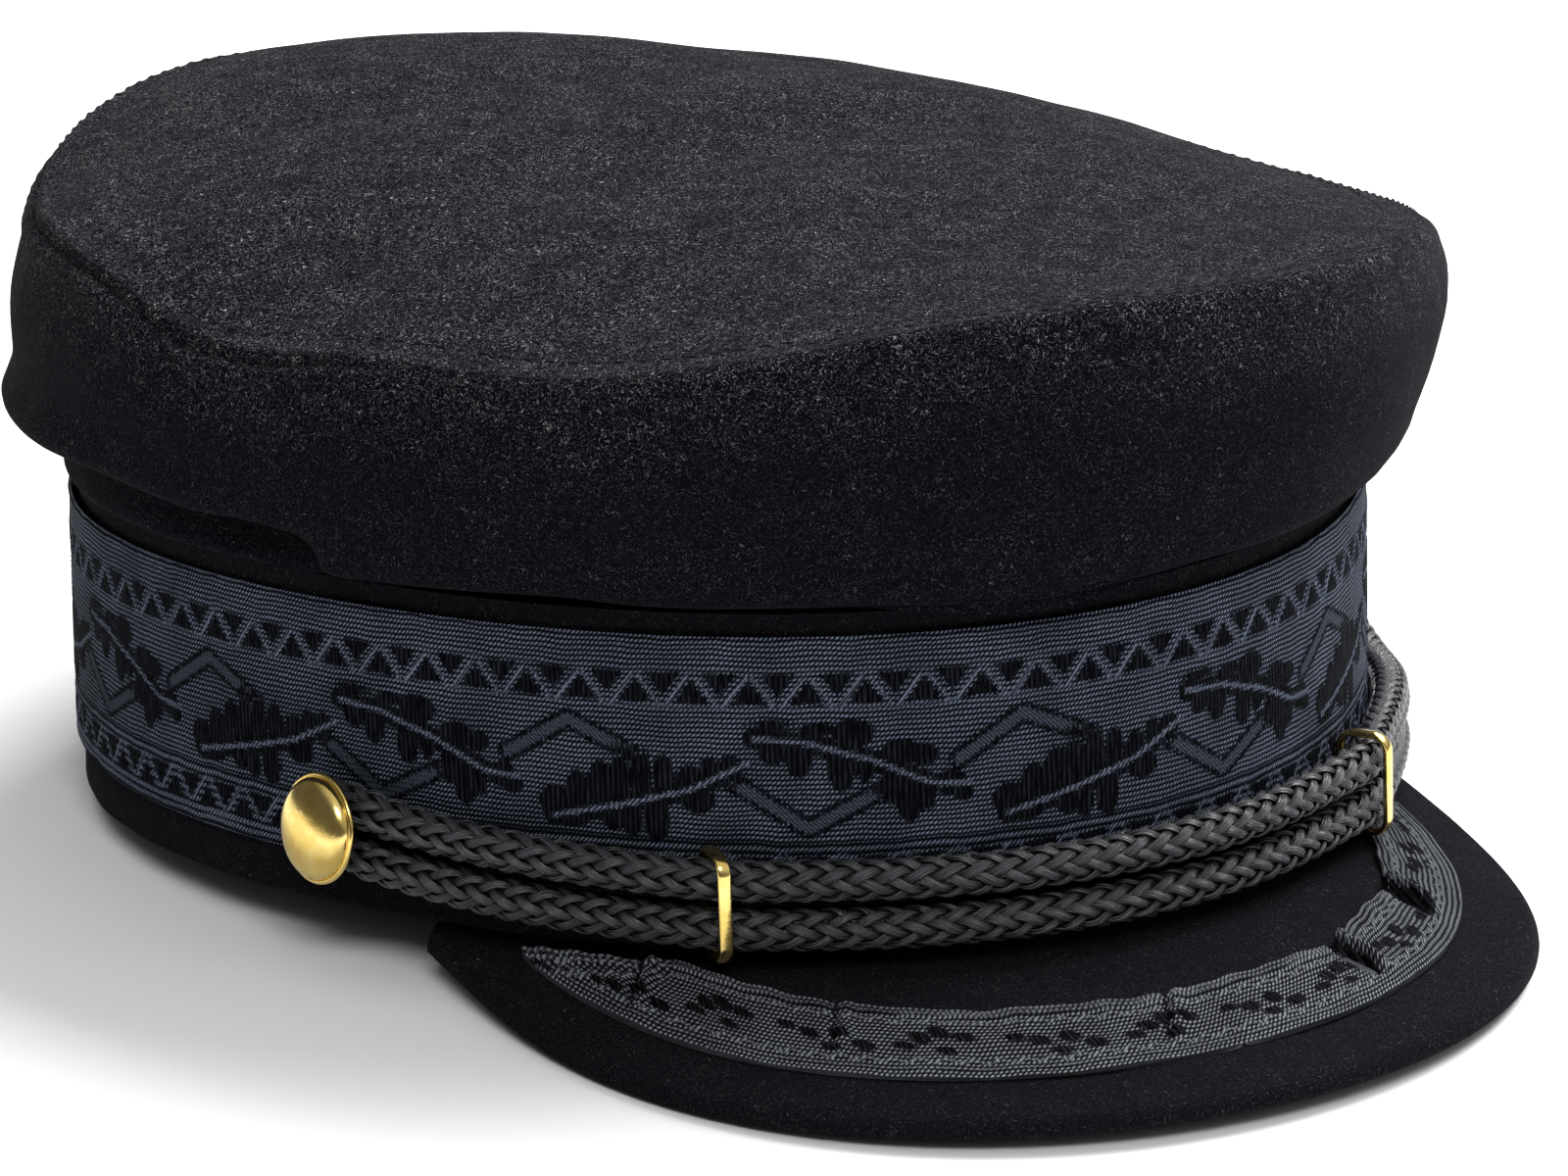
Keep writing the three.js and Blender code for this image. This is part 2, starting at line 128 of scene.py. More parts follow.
CROWN_ROWS = np.array([
    # angle, tuck out and up, fold out and up, wide out and up, seam out and up
    [-180, 0.15, 0.07, 0.5, 0.13, 0.8, 0.6, 0.5, 1.07],
    [-150, 0.15, 0.05, 0.48, 0.08, 0.9, 0.54, 0.6, 0.84],
    [-120, 0.15, 0.04, 0.42, 0.05, 1.04, 0.48, 0.77, 0.67],
    [-90, 0.12, 0.02, 0.3, 0.02, 1.14, 0.5, 0.92, 0.62],
    [-62, 0.1, 0, 0.26, 0.01, 1.18, 0.54, 0.97, 0.74],
    [-40, 0.12, 0.05, 0.42, 0.06, 1.08, 0.51, 0.78, 0.88],
    [-22, 0.14, 0.06, 0.5, 0.08, 0.92, 0.51, 0.62, 0.94],
    [-8, 0.15, 0.05, 0.5, 0.05, 0.83, 0.51, 0.53, 0.99],
    [7, 0.15, 0.04, 0.52, 0.01, 0.8, 0.5, 0.5, 1],
    [22, 0.15, 0.05, 0.5, 0.05, 0.78, 0.48, 0.5, 0.92],
    [35, 0.15, 0.06, 0.48, 0.05, 0.76, 0.44, 0.48, 0.82],
    [42, 0.15, 0.06, 0.46, 0.09, 0.75, 0.43, 0.47, 0.8],
    [52, 0.14, 0.06, 0.48, 0.05, 0.75, 0.43, 0.46, 0.81],
    [61, 0.12, 0.06, 0.46, 0.04, 0.75, 0.44, 0.45, 0.8],
    [69, 0.1, 0.09, 0.44, 0.22, 0.76, 0.47, 0.45, 0.77],
    [78, 0.14, 0.09, 0.46, 0.24, 0.76, 0.5, 0.44, 0.79],
    [90, 0.16, 0.09, 0.52, 0.26, 0.72, 0.6, 0.38, 0.92],
    [104, 0.15, 0.09, 0.55, 0.27, 0.65, 0.64, 0.34, 0.97],
    [120, 0.12, 0.09, 0.55, 0.27, 0.65, 0.66, 0.26, 1],
    [150, 0.14, 0.08, 0.54, 0.2, 0.74, 0.66, 0.42, 1.16],
])

# Soft folds of the crown's cloth: where, how far they reach and how far they stand out
FOLD_ROWS = np.array([
    # angle, mm below the seam, turn in degrees, half length, half width, height
    [78, 27, -28, 22, 3.5, 0.9],
    [92, 22, -20, 26, 4.5, 0.7],
    [60, 30, -35, 12, 3, 0.8],
    [110, 26, -8, 20, 3.5, 0.8],
    [30, 16, 12, 26, 6, 0.6],
    [2, 20, -10, 24, 6, 0.5],
    [-30, 22, 18, 26, 6.5, 0.7],
    [-58, 26, 8, 24, 6, 0.8],
    [-95, 22, -12, 26, 6, 0.9],
    [-140, 24, 15, 28, 6, 0.8],
    [150, 24, -14, 26, 6, 0.8],
    [178, 28, 6, 30, 6.5, 0.7],
])

FOLD_RADIUS = 96  # of the ring on which the folds' angles are laid out

# The deep fold: where it starts and ends, in degrees, and how high its edge hangs above the band
FOLD_ENTRY = (61, 68)
FOLD_EXIT = (118, 150)
FOLD_LEVEL = 7.5
FOLD_CLIMB = 1.6
FOLD_CLIMBING = (70, 96)

# Swells and tucks of the crown's lower edge: height above the band, half width and how far out
HANG_ROWS = [(2.8, 3.2, 2.2), (-3, 2.6, -4.2)]  # but above the deep fold's edge
LIP_ROWS = [(1.2, 1.3, 0.9)]
TUCK_ROWS = [(5.2, 2.4, 0.5), (0.9, 1.5, -1.6)]

# The crown's seam: distance from it, half width, height and height of the puckers
SEAM_ROWS = [(0, 0.7, -0.45, -0.15), (2.3, 1.3, 0.176, 0.088)]
PUCKER_PITCH = 0.75
TOP_ROW = 6
TOP_ROWS = [(TOP_ROW, 0.8, -0.15)]

# The strained stretch of the seam: its middle and how far from it the strain starts and is
# full, in degrees, and how much more the seam stands out and in there
STRAIN_ROW = (105, 52, 35, 1.3)

# Stitches beside the seam: distances past it, and the threads' sizes
STITCH_PLACES = (1.7, TOP_ROW)
STITCH_COUNT = 190
STITCH_LENGTH = 2.1
STITCH_RADIUS = 0.14
STITCH_RISE = 0.22
STITCH_STEPS = 6

# Unevenness of each cloth: the lumps' size, their seed and their height
CROWN_LUMPS = [(26, 3.1, 0.6), (9, 7.7, 0.12)]
BAND_LUMPS = [(11, 5.3, 0.35)]
RIBBON_LUMPS = [(14, 1.9, 0.1)]
PEAK_LUMPS = [(17, 2.2, 0.35)]
TRIM_LUMPS = [(5.5, 4.4, 0.22), (13, 8.1, 0.3)]

# Soft waves of the tip: place, direction and size
WAVE_ROWS = np.array([
    # x, y, turn in degrees, half length, half width, height
    [-10, -38, 12, 60, 11, 0.9],
    [30, 18, 20, 50, 12, 1.2],
    [-30, 30, 8, 55, 12, -1],
    [10, -8, 14, 60, 9, -0.9],
    [-45, -30, -30, 26, 9, 0.6],
    [60, -10, 60, 26, 9, 0.7],
])

# Ribbon pattern: distances along the ribbon start at the cap's front
REPEAT = 61.1
REPEAT_START = 19
TOOTH_PITCH = REPEAT / 8
TOOTH_START = 2.57
TOOTH_HALF = 2.55
TOOTH_RISE = 3.4
TOOTH_SLOPE = 0.4
TOP_TEETH = 34.5
LOW_TEETH = 13.9
LINE_LEVELS = (39.3, 33.9, 14.8, 9.0)
LINE_HALF = 0.2
VEIN_HALF = 0.3
DISTANCE_LIMIT = 1.5
LEAF_ROWS = np.array([
    # along, height, half length, half height
    [75.6, 20, 2.3, 2.4],
    [72.2, 21.7, 1.9, 3],
    [68.9, 22.8, 1.9, 3.6],
    [66.3, 23.3, 1.7, 3.9],
    [63.3, 23.9, 1.7, 3.9],
    [60.2, 24.4, 1.6, 3.3],
    [56.7, 23.9, 1.7, 2.6],
    [53.9, 25, 1.5, 2.6],
    [51.1, 25.9, 1.9, 1.8],
    [73.3, 18, 2.7, 1.4],
    [67.2, 18.3, 1.9, 1.7],
    [64.7, 18, 1.3, 2.3],
    [61.3, 18.6, 1.9, 3.2],
    [55.6, 21.4, 2.4, 1.9],
    [45.6, 31.9, 3.4, 0.7],
    [45.6, 28.3, 1.9, 2],
    [42.2, 27.2, 1.8, 2.7],
    [35, 30.6, 3, 2],
    [39.5, 31.3, 2.6, 0.9],
    [36.7, 25.6, 1.8, 3.2],
    [33.6, 25.9, 1.2, 2.4],
    [28.9, 27.8, 2.7, 1.8],
    [25.8, 27.2, 2, 1.6],
    [30.3, 23.2, 1.5, 2.6],
    [27.8, 21.2, 1.9, 3.3],
    [25.4, 21.7, 1.2, 2.2],
    [22.2, 23, 2.3, 1.9],
    [20.6, 21.8, 1.6, 1.4],
])
LEAF_BODY = 1.5
VEINS = [
    [(75.8, 18.1), (66.1, 20.3), (56.7, 22.8), (48.7, 26.7)],
    [(48, 30), (41.1, 29.4), (32.2, 26.7), (25, 23.3), (19.4, 22.8)],
]
CHEVRONS = [  # the middle lines of satin bands with dark outlines
    [(82.3, 26.2), (73.3, 31.6), (63.4, 27.1)],
    [(51.2, 24.2), (41.1, 17.7), (32.2, 22.3)],
]
BAND_HALF = 1.1
OUTLINE_HALF = 0.4

# Pattern of the ribbon on the peak: distances along it, and across it from its inner edge
TRIM_REPEAT = 30
TRIM_LEAF_ROWS = np.array([
    # along, across as a share of the width, half length, half width
    [3, 0.42, 1.7, 1.2],
    [5.8, 0.36, 1.5, 1.6],
    [6.4, 0.62, 1.4, 1.1],
    [8.8, 0.44, 1.5, 1.4],
    [11.4, 0.56, 1.6, 1],
    [17, 0.6, 1.6, 1.3],
    [19.6, 0.46, 1.4, 1.5],
    [21.8, 0.66, 1.5, 1],
    [23.8, 0.5, 1.6, 1.3],
    [26.6, 0.44, 1.5, 1],
])
# Darts where the straight ribbon was eased round the curve: place as a share of the way from
# the middle to the right corner, slant, half width, depth and how far they draw its inner edge in
DART_ROWS = np.array([
    [0.02, 0.5, 1.3, 0.7, 0.4],
    [-0.25, -0.2, 1.5, 1.9, 1.8],
    [-0.45, -0.2, 1.5, 2.1, 1.9],
    [0.42, 0.4, 1.2, 0.5, 0.3],
    [0.66, 0.6, 1.4, 0.9, 0.8],
])
DART_REACH = 9
SAW_PITCH = 3.4
SLACK = 0.16
SLACK_PITCH = 6.5
EDGE_CORDS = (0.45, 1.35)

# Braid of the cord
CARRIERS = 8  # bundles in each direction
LAY = 29  # length of one turn of a bundle
BUNDLE_WIDTH = 0.68  # half of it
BUNDLE_THICK = 0.44  # half of it
BUNDLE_SIDES = 6
BRAID_WAVE = 0.55  # how far a bundle rises and dips where it crosses others
CORD_STEP = 0.6

# How finely curved surfaces are cut
CROWN_STEPS = 400
RIBBON_STEPS = 1200
RIBBON_LEVELS = 74
# Shares of the side's height and of the tip's radius, finer beside the seam
SIDE_CUTS = np.concatenate([np.linspace(0, 0.9, 34), np.linspace(0.915, 1, 10)])
TIP_CUTS = np.concatenate([np.linspace(0.995, 0.95, 10), np.linspace(0.935, 0, 34)])
TRIM_STEPS = (420, 46)
BAND_LEVELS = 14
PEAK_STEPS = 240

# Wool: how fine its fibres, grain and mottling are, in a millimetre
HAIR_SCALE = 2.1
HAIR_RANGE = (1.18, 1.68)
GRAIN_SCALE = 2.6
MOTTLE_SCALE = 0.16
CURL = 2.4
SIDE_SHADE = (-16, 3, 0.24, 1)  # painted shade: distances past the seam, and the share of pale hair kept at each, so the crown's side is painted darker than its tip

# Woven ribbon
WIDE_ROWS_BELOW = 15.8
WIDE_ROWS = 1.6
SLANT = 0.8
FLOAT_PITCH = 0.72
SATIN_PITCH = 0.62
FILAMENT_PITCH = 2 / 5.2  # in the braid, as a share of half a bundle's width

# The photo's viewpoint, found from the cap's edges and outline, in degrees and millimetres
VIEW_AZIMUTH = -27.858
VIEW_ELEVATION = 15.302
VIEW_DISTANCE = 848.58
VIEW_HEIGHT = 30
VIEW_PAN = -0.4526
VIEW_TILT = -0.4849
VIEW_ROLL = 2.0342
LENS = 133.29
SENSOR = 36

# Stage, in metres and watts
FLOOR_HALF = 4
LIGHT_AIM = (0, 0, 0.05)
SKY_TOWARD = (0.36, -0.18, 0.9)
SKY_RANGE = (0.32, 0.8, 0.12, 0.75)
LIGHTS = [
    # name, place, size, power
    ("top", (0.75, 0.25, 1.1), (1.2, 0.9), 43),
    ("front", (-0.7, -1.3, 1.5), (1.0, 0.5), 17),
]

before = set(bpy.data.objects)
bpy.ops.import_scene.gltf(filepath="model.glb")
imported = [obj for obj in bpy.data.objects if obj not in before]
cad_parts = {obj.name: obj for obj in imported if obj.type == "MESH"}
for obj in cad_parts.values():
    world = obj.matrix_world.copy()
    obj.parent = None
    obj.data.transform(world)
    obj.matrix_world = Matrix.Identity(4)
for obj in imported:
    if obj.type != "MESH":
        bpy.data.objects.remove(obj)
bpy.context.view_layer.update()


# The cap's shapes


def oval_radius(angle):
    mean = (OVAL_LENGTH + OVAL_WIDTH) / 4
    stretch = (OVAL_LENGTH - OVAL_WIDTH) / (OVAL_LENGTH + OVAL_WIDTH)
    egg = OVAL_EGG * np.cos(3 * angle)
    return mean * (1 + stretch * np.cos(2 * angle) + egg + OVAL_SQUARE * np.cos(4 * angle))


def around(angle, out, z):
    """Points at angles round the cap, so far outside the ribbon's face, at heights z."""
    r = oval_radius(angle) + out
    return np.stack(np.broadcast_arrays(-r * np.sin(angle), -r * np.cos(angle), z), -1)


def turn(steps):
    return np.linspace(-math.pi, math.pi, steps, endpoint=False)


def smooth(value, low, high):
    t = np.clip((value - low) / (high - low), 0, 1)
    return t * t * (3 - 2 * t)


def bell(value, width):
    return np.exp(-((value / width) ** 2))


def unit(vectors):
    return vectors / np.maximum(np.linalg.norm(vectors, axis=-1, keepdims=True), 1e-9)


def circle(steps):
    return np.linspace(0, 2 * math.pi, steps, endpoint=False)


def arc_length(points):
    """Lengths along a line of points, from its first point to each."""
    return np.concatenate([[0], np.cumsum(np.linalg.norm(np.diff(points, axis=0), axis=1))])


def hermite(t, start, end, leaving, arriving):
    """Points on a smooth curve between two points, along given directions at its ends."""
    ends = (2 * t**3 - 3 * t**2 + 1) * start + (3 * t**2 - 2 * t**3) * end
    return ends + (t**3 - 2 * t**2 + t) * leaving + (t**3 - t**2) * arriving


def crown_at(angle):
    """The crown's shares at angles, on a smooth closed curve through the rows."""
    degrees = np.degrees(angle)
    count = len(CROWN_ROWS)
    first = np.searchsorted(CROWN_ROWS[:, 0], degrees + TINY, side="right") - 1
    near = [(first + k) % count for k in (-1, 0, 1, 2)]
    turns = [360 * ((first + k) // count) for k in (-1, 0, 1, 2)]
    before, here, after, beyond = (CROWN_ROWS[i, 0] + t for i, t in zip(near, turns))
    v0, v1, v2, v3 = (CROWN_ROWS[i, 1:] for i in near)
    step = after - here
    t = ((degrees - here) / step)[:, None]
    m1 = (v2 - v0) * (step / (after - before))[:, None]
    m2 = (v3 - v1) * (step / (beyond - here))[:, None]
    return hermite(t, v1, v2, m1, m2)


def side_line(angle, along):
    """The side's outer face as (out, z), from the band at along 0 to the tip's seam at 1."""
    shares = crown_at(angle)
    keys = shares.reshape(len(angle), 4, 2) * (CROWN_SPREAD, SIDE_HEIGHT) + (0, BAND_HEIGHT)
    start = np.broadcast_to((BAND_FACE + CLEARANCE, BAND_HEIGHT + CLEARANCE), (len(angle), 1, 2))
    keys = np.concatenate([start, keys], 1)
    last = keys.shape[1] - 1
    place = along * last
    first = np.minimum(place.astype(int), last - 1)
    t = (place - first)[None, :, None]
    v0, v1, v2, v3 = (keys[:, np.clip(first + k, 0, last)] for k in (-1, 0, 1, 2))
    return hermite(t, v1, v2, (v2 - v0) / 2, (v3 - v1) / 2)


def tip_height(angle, share, seam_z):
    mean = BAND_HEIGHT + SIDE_HEIGHT * TIP_LEVEL
    rim = share**TIP_ROUNDNESS
    lean = TIP_LEAN * share * (1 - share**2) * np.cos(angle - math.radians(TIP_HIGH_SIDE))
    return rim * seam_z + (1 - rim) * (mean + TIP_DOME) + lean


def peak_point(along, share, drop=0.0):
    """Points of the peak's upper face: along is -1 at the left corner and 1 at the right one."""
    corner = around(math.radians(PEAK_CORNER_ANGLE), 0, 0)
    reach = oval_radius(0) + PEAK_LENGTH + corner[1]
    bow = along * math.pi / 2
    forward = np.abs(np.cos(bow))
    fall = 1 - (1 - forward) ** PEAK_DROP_SPREAD
    x = corner[0] * np.sin(bow)
    y = corner[1] - reach * forward**PEAK_BLUNTNESS
    z = -PEAK_CORNER_DROP - (PEAK_FRONT_DROP - PEAK_CORNER_DROP) * fall
    askew = -math.radians(PEAK_TURN)
    edge_x = x * math.cos(askew) - y * math.sin(askew)
    edge_y = x * math.sin(askew) + y * math.cos(askew)
    angle = np.radians(PEAK_CORNER_ANGLE * along + PEAK_TURN)
    root = around(angle, BAND_FACE - BAND_WALL, -CLEARANCE)
    level = -CLEARANCE - (-z - CLEARANCE) * share**PEAK_ROOT_CURVE - drop
    px = root[..., 0] + (edge_x - root[..., 0]) * share
    py = root[..., 1] + (edge_y - root[..., 1]) * share
    return np.stack(np.broadcast_arrays(px, py, level), -1)


def peak_reach(along):
    """How far the peak reaches from the band, square to its edge and along the line from it."""
    line = peak_point(along, 1.0) - peak_point(along, 0.0)
    edge = unit(peak_point(along + TRIM_STEP, 1.0) - peak_point(along - TRIM_STEP, 1.0))
    return np.linalg.norm(np.cross(line, edge), axis=-1), np.linalg.norm(line, axis=-1)


RIGHT_END = math.radians(RIGHT_BUTTON_ANGLE)
LEFT_END = math.radians(LEFT_BUTTON_ANGLE)
LOOP_RADIUS = SHANK_RADIUS + CLEARANCE + SQUEEZED_RADIUS
PAIR_HALF = STRAND_RADIUS + STRAND_GAP / 2


def from_button(angle):
    return np.minimum(RIGHT_END - angle, angle - LEFT_END) * oval_radius(angle)


def cord_radius(angle):
    near = smooth(from_button(angle), 0, SQUEEZE_LENGTH)
    return SQUEEZED_RADIUS + (STRAND_RADIUS - SQUEEZED_RADIUS) * near


def strap_middle(angle):
    """The middle of the pair of strands: its distance from the ribbon and its height."""
    to_end = angle / np.where(angle > 0, RIGHT_END, LEFT_END)
    to_slide = (np.abs(angle) - math.radians(SLIDE_ANGLE)) * oval_radius(angle)
    sag = bell(angle - math.radians(SAG_ANGLE), math.radians(SAG_SPREAD))
    line = STRAP_HEIGHT + STRAP_LEAN * angle + STRAP_RISE * to_end**4
    lift = (SLIDE_THICK + CLEARANCE) * bell(to_slide, SLIDE_CLEARING)
    return CLEARANCE + cord_radius(angle) + lift, line - STRAP_SAG * sag


def strand_line(level, steps=260):
    angle = np.linspace(RIGHT_END, LEFT_END, steps)
    out, z = strap_middle(angle)
    near = smooth(from_button(angle), 0, BUTTON_CLEARING)
    spread = LOOP_RADIUS + (PAIR_HALF - LOOP_RADIUS) * near
    return around(angle, out, z + level * spread), cord_radius(angle)


def loop_line(end, steps=14):
    out, z = strap_middle(end)
    bend = np.linspace(0, math.pi, steps + 2)[1:-1]
    angle = end + math.copysign(LOOP_RADIUS, end) * np.sin(bend) / oval_radius(end)
    points = around(angle, out, z + LOOP_RADIUS * np.cos(bend))
    return points, np.full(steps, SQUEEZED_RADIUS)


# From the cap's frame to the part's


def part_frame():
    """The turn and shift that set the cap down as the part rests."""
    rear = oval_radius(math.pi) + BAND_FACE
    along = np.linspace(-1, 1, 37)
    edge = peak_point(along, 1.0, PEAK_WALL)
    tilt = -np.arctan2(-edge[:, 2], rear - edge[:, 1]).max()
    rotation = np.array(Matrix.Rotation(tilt, 3, "X"))
    ring = turn(ROUND_STEPS)
    hoop = [around(ring, BAND_FACE, z) for z in (0, BAND_HEIGHT)]
    low = (np.concatenate(hoop) @ rotation.T).min(0)
    return rotation, np.array(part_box("headband")[0]) / MM - low


ROTATION, SHIFT = part_frame()


def to_part(points):
    return (points @ ROTATION.T + SHIFT) * MM


# Mesh building


def loft(grids, closed=True, ends=False):
    """Faces of closed bodies, one for each grid of points. A grid's columns close round on
    themselves and its rows do if closed is set; ends adds flat faces at open rows."""
    faces, base = [], 0
    for grid in grids:
        rows, across = grid.shape[:2]
        i = np.arange(rows if closed else rows - 1)[:, None]
        j = np.arange(across)[None]
        next_i, next_j = (i + 1) % rows, (j + 1) % across
        here, ahead = i * across, next_i * across
        corners = [here + j, ahead + j, ahead + next_j, here + next_j]
        quads = np.stack([np.broadcast_to(c, (i.size, across)) for c in corners], -1).reshape(-1, 4)
        flat = grid.reshape(-1, 3)
        first = np.linalg.norm(flat[quads[:, 0]] - flat[quads[:, 1]], axis=1)
        second = np.linalg.norm(flat[quads[:, 2]] - flat[quads[:, 3]], axis=1)
        faces += (quads[(first > TINY) | (second > TINY)] + base).tolist()
        if ends:
            faces.append([base + k for k in range(across)])
            faces.append([base + (rows - 1) * across + k for k in reversed(range(across))])
        base += rows * across
    return faces


def add_object(name, data):
    made = bpy.data.objects.new(name, data)
    bpy.context.scene.collection.objects.link(made)
    return made


def build(name, grids, material, nodes, slot, sharp=50, closed=True, ends=False, **values):
    """One finished piece from grids of points in the cap's frame. Each value is stored at the
    points under its name, for the material to read."""
    mesh = bpy.data.meshes.new(name)
    points = np.concatenate([grid.reshape(-1, 3) for grid in grids])
    mesh.from_pydata(to_part(points).tolist(), [], loft(grids, closed, ends))
    for key, value in values.items():
        stored = mesh.attributes.new(key, "FLOAT", "POINT")
        flat = np.concatenate([v.ravel() for v in value])
        stored.data.foreach_set("value", flat.astype(np.float32))
    work = bmesh.new()
    work.from_mesh(mesh)
    bmesh.ops.remove_doubles(work, verts=work.verts, dist=MERGE)
    bmesh.ops.recalc_face_normals(work, faces=work.faces)
    work.to_mesh(mesh)
    work.free()
    mesh.shade_smooth()
    mesh.set_sharp_from_angle(angle=math.radians(sharp))
    mesh.materials.append(material)
    piece = add_object(name, mesh)
    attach(piece, "root")
    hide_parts(*nodes)


def grid_normals(grid):
    """Directions out of a grid whose rows close round."""
    rows = np.concatenate([grid[-1:], grid, grid[:1]])
    normals = np.cross(np.gradient(grid, axis=1), (rows[2:] - rows[:-2]))
    return unit(normals)


def lumpy(points, rows):
    """Smooth noise about zero at points: each row is the lumps' size, seed and height."""
    total = np.zeros(points.shape[:-1])
    for size, seed, height in rows:
        flat = points.reshape(-1, 3) / size + seed
        total += height * np.array([noise.noise(p) for p in flat]).reshape(total.shape)
    return total


def swells(place, rows):
    """The sum of soft rounds across a line: each row is place, half width and height."""
    return sum(height * bell(place - middle, width) for middle, width, height in rows)


def ridges(x, y, rows):
    """The sum of soft straight ridges: each row is place, turn, half length, half width, height."""
    total = np.zeros(np.broadcast(x, y).shape)
    for px, py, degrees, length, width, height in rows:
        a = math.radians(degrees)
        along = (x - px) * math.cos(a) + (y - py) * math.sin(a)
        across = (y - py) * math.cos(a) - (x - px) * math.sin(a)
        total += height * bell(along, length) * bell(across, width)
    return total


# The pieces' fine shapes


def crown_grid():
    """The crown's outer face, closed over the tip, and how far each point is past the seam."""
    angle = turn(CROWN_STEPS)
    line = side_line(angle, SIDE_CUTS)
    side = around(angle[:, None], line[..., 0], line[..., 1])
    seam_out, seam_z = line[:, -1:, 0], line[:, -1:, 1]
    ring = oval_radius(angle[:, None])
    out = TIP_CUTS * (ring + seam_out) - ring
    tip = around(angle[:, None], out, tip_height(angle[:, None], TIP_CUTS, seam_z))
    grid = np.concatenate([side, tip], 1)
    steps = np.linalg.norm(np.diff(grid, axis=1), axis=-1)
    reach = np.concatenate([np.zeros((len(angle), 1)), np.cumsum(steps, 1)], 1)
    reach -= reach[:, len(SIDE_CUTS) - 1][:, None]
    return angle, grid, reach


def overhang(angle, rise):
    """The crown's lower edge, so high above the band: it is tucked in all round, and at the
    wearer's right the loose cloth hangs out over a deeper recess with a soft lip below it."""
    degrees = np.degrees(angle)[:, None]
    span = smooth(degrees, *FOLD_ENTRY) * (1 - smooth(degrees, *FOLD_EXIT))
    level = FOLD_LEVEL + FOLD_CLIMB * smooth(degrees, *FOLD_CLIMBING)
    deep = swells(rise - level, HANG_ROWS) + swells(rise, LIP_ROWS)
    return span * deep + (1 - span) * swells(rise, TUCK_ROWS)


def crown_relief(angle, grid, reach):
    """How far the cloth stands out of its plain shape: seam, folds and slack."""
    arc = angle[:, None] * oval_radius(angle[:, None])
    fade = smooth(reach - reach[:, :1], 2, 9)
    side = np.where(reach < 0, 1.0, 0.0) * smooth(-reach, 2, 9) * fade
    folds = FOLD_ROWS.copy()
    folds[:, 0] = np.radians(folds[:, 0]) * FOLD_RADIUS
    folds[:, 1] = -folds[:, 1]
    relief = ridges(arc, reach, folds) * side
    relief += ridges(grid[..., 0], grid[..., 1], WAVE_ROWS) * smooth(reach, 3, 16)
    relief += lumpy(grid, CROWN_LUMPS) * fade
    relief += overhang(angle, grid[..., 2] - BAND_HEIGHT)
    pucker = 0.5 + 0.5 * np.sin(arc / PUCKER_PITCH)
    middle, low, high, share = STRAIN_ROW
    strain = 1 + share * smooth(np.abs(np.degrees(angle)[:, None] - middle), low, high)
    for place, width, height, wrinkle in SEAM_ROWS:
        relief += (height + wrinkle * pucker) * bell(np.abs(reach) - place, width) * strain
    return relief + swells(reach, TOP_ROWS)


def add_crown(material):
    angle, grid, reach = crown_grid()
    normals = grid_normals(grid)
    normals *= np.sign((normals[:, 20] * grid[:, 20]).sum(-1).mean())
    normals[:, -1] = (0, 0, 1)
    relief = crown_relief(angle, grid, reach)[..., None]
    outer = grid + normals * relief
    outer[:, -1] = outer[:, -1].mean(0)
    inner = grid + normals * (np.minimum(relief, 0) - CROWN_WALL)
    inner[:, -1] = inner[:, -1].mean(0)
    body = np.concatenate([outer, inner[:, ::-1]], 1)
    nodes = ["crown_tip", "crown_side"]
    # each point's distance past the seam, which the wool also uses to paint the crown's side darker
    # than its tip, as shade
    past = [np.concatenate([reach, reach[:, ::-1]], 1)]
    build("crown", [body], material, nodes, "wool", past_seam=past)
    return angle, outer, normals, reach


def add_stitches(angle, outer, normals, reach, material):
    """Two rows of short thread stitches on the tip, beside its seam."""
    stitches = []
    rows = np.arange(len(angle))
    ring = circle(5)
    bend = np.sin(np.linspace(0.12, math.pi - 0.12, STITCH_STEPS))
    radius = STITCH_RADIUS * bend[:, None] ** 0.4
    for offset in STITCH_PLACES:
        column = np.abs(reach - offset).argmin(1)
        line = outer[rows, column] + normals[rows, column] * 0.05
        line = np.concatenate([line, line[:1]])
        arc = arc_length(line)
        for start in np.arange(STITCH_COUNT) / STITCH_COUNT * arc[-1]:
            place = start + np.linspace(0, STITCH_LENGTH, STITCH_STEPS)
            points = np.stack([np.interp(place, arc, line[:, k]) for k in range(3)], -1)
            along = unit(points[-1] - points[0])
            side = unit(np.cross(along, (0, 0, 1)))
            up = np.cross(side, along)
            middle = points + up * (bend * STITCH_RISE - STITCH_RADIUS)[:, None]
            shape = side * (radius * np.cos(ring))[..., None]
            shape = shape + up * (radius * np.sin(ring))[..., None]
            stitches.append(middle[:, None] + shape)
    build("crown_stitches", stitches, material, [], "wool", closed=False, ends=True)


def flare(angle, z):
    """How far the band's lower part leans out at the wearer's right."""
    return swells(np.degrees(angle)[:, None], FLARE_ROWS) * np.clip(1 - z / BAND_HEIGHT, 0, 1)


def add_headband(material):
    angle = turn(RIBBON_STEPS // 3)
    bend = np.linspace(0, math.pi, 9)
    half = BAND_WALL / 2
    high = np.linspace(BAND_HEIGHT, half, BAND_LEVELS)
    flat = np.zeros(BAND_LEVELS)
    rounded = half * np.cos(bend)[1:-1] - half
    out = BAND_FACE + np.concatenate([flat, rounded, flat - BAND_WALL])
    z = np.concatenate([high, half - half * np.sin(bend)[1:-1], high[::-1]])
    bulge = swells(np.degrees(angle)[:, None], BULGE_ROWS) * bell(z - 1, 5)
    soft = lumpy(around(angle[:, None], out, z), BAND_LUMPS) * smooth(5.5 - z, 0, 3)
    grid = around(angle[:, None], out + bulge + soft + flare(angle, z), z)
    build("headband_cloth", [grid], material, ["headband"], "wool")


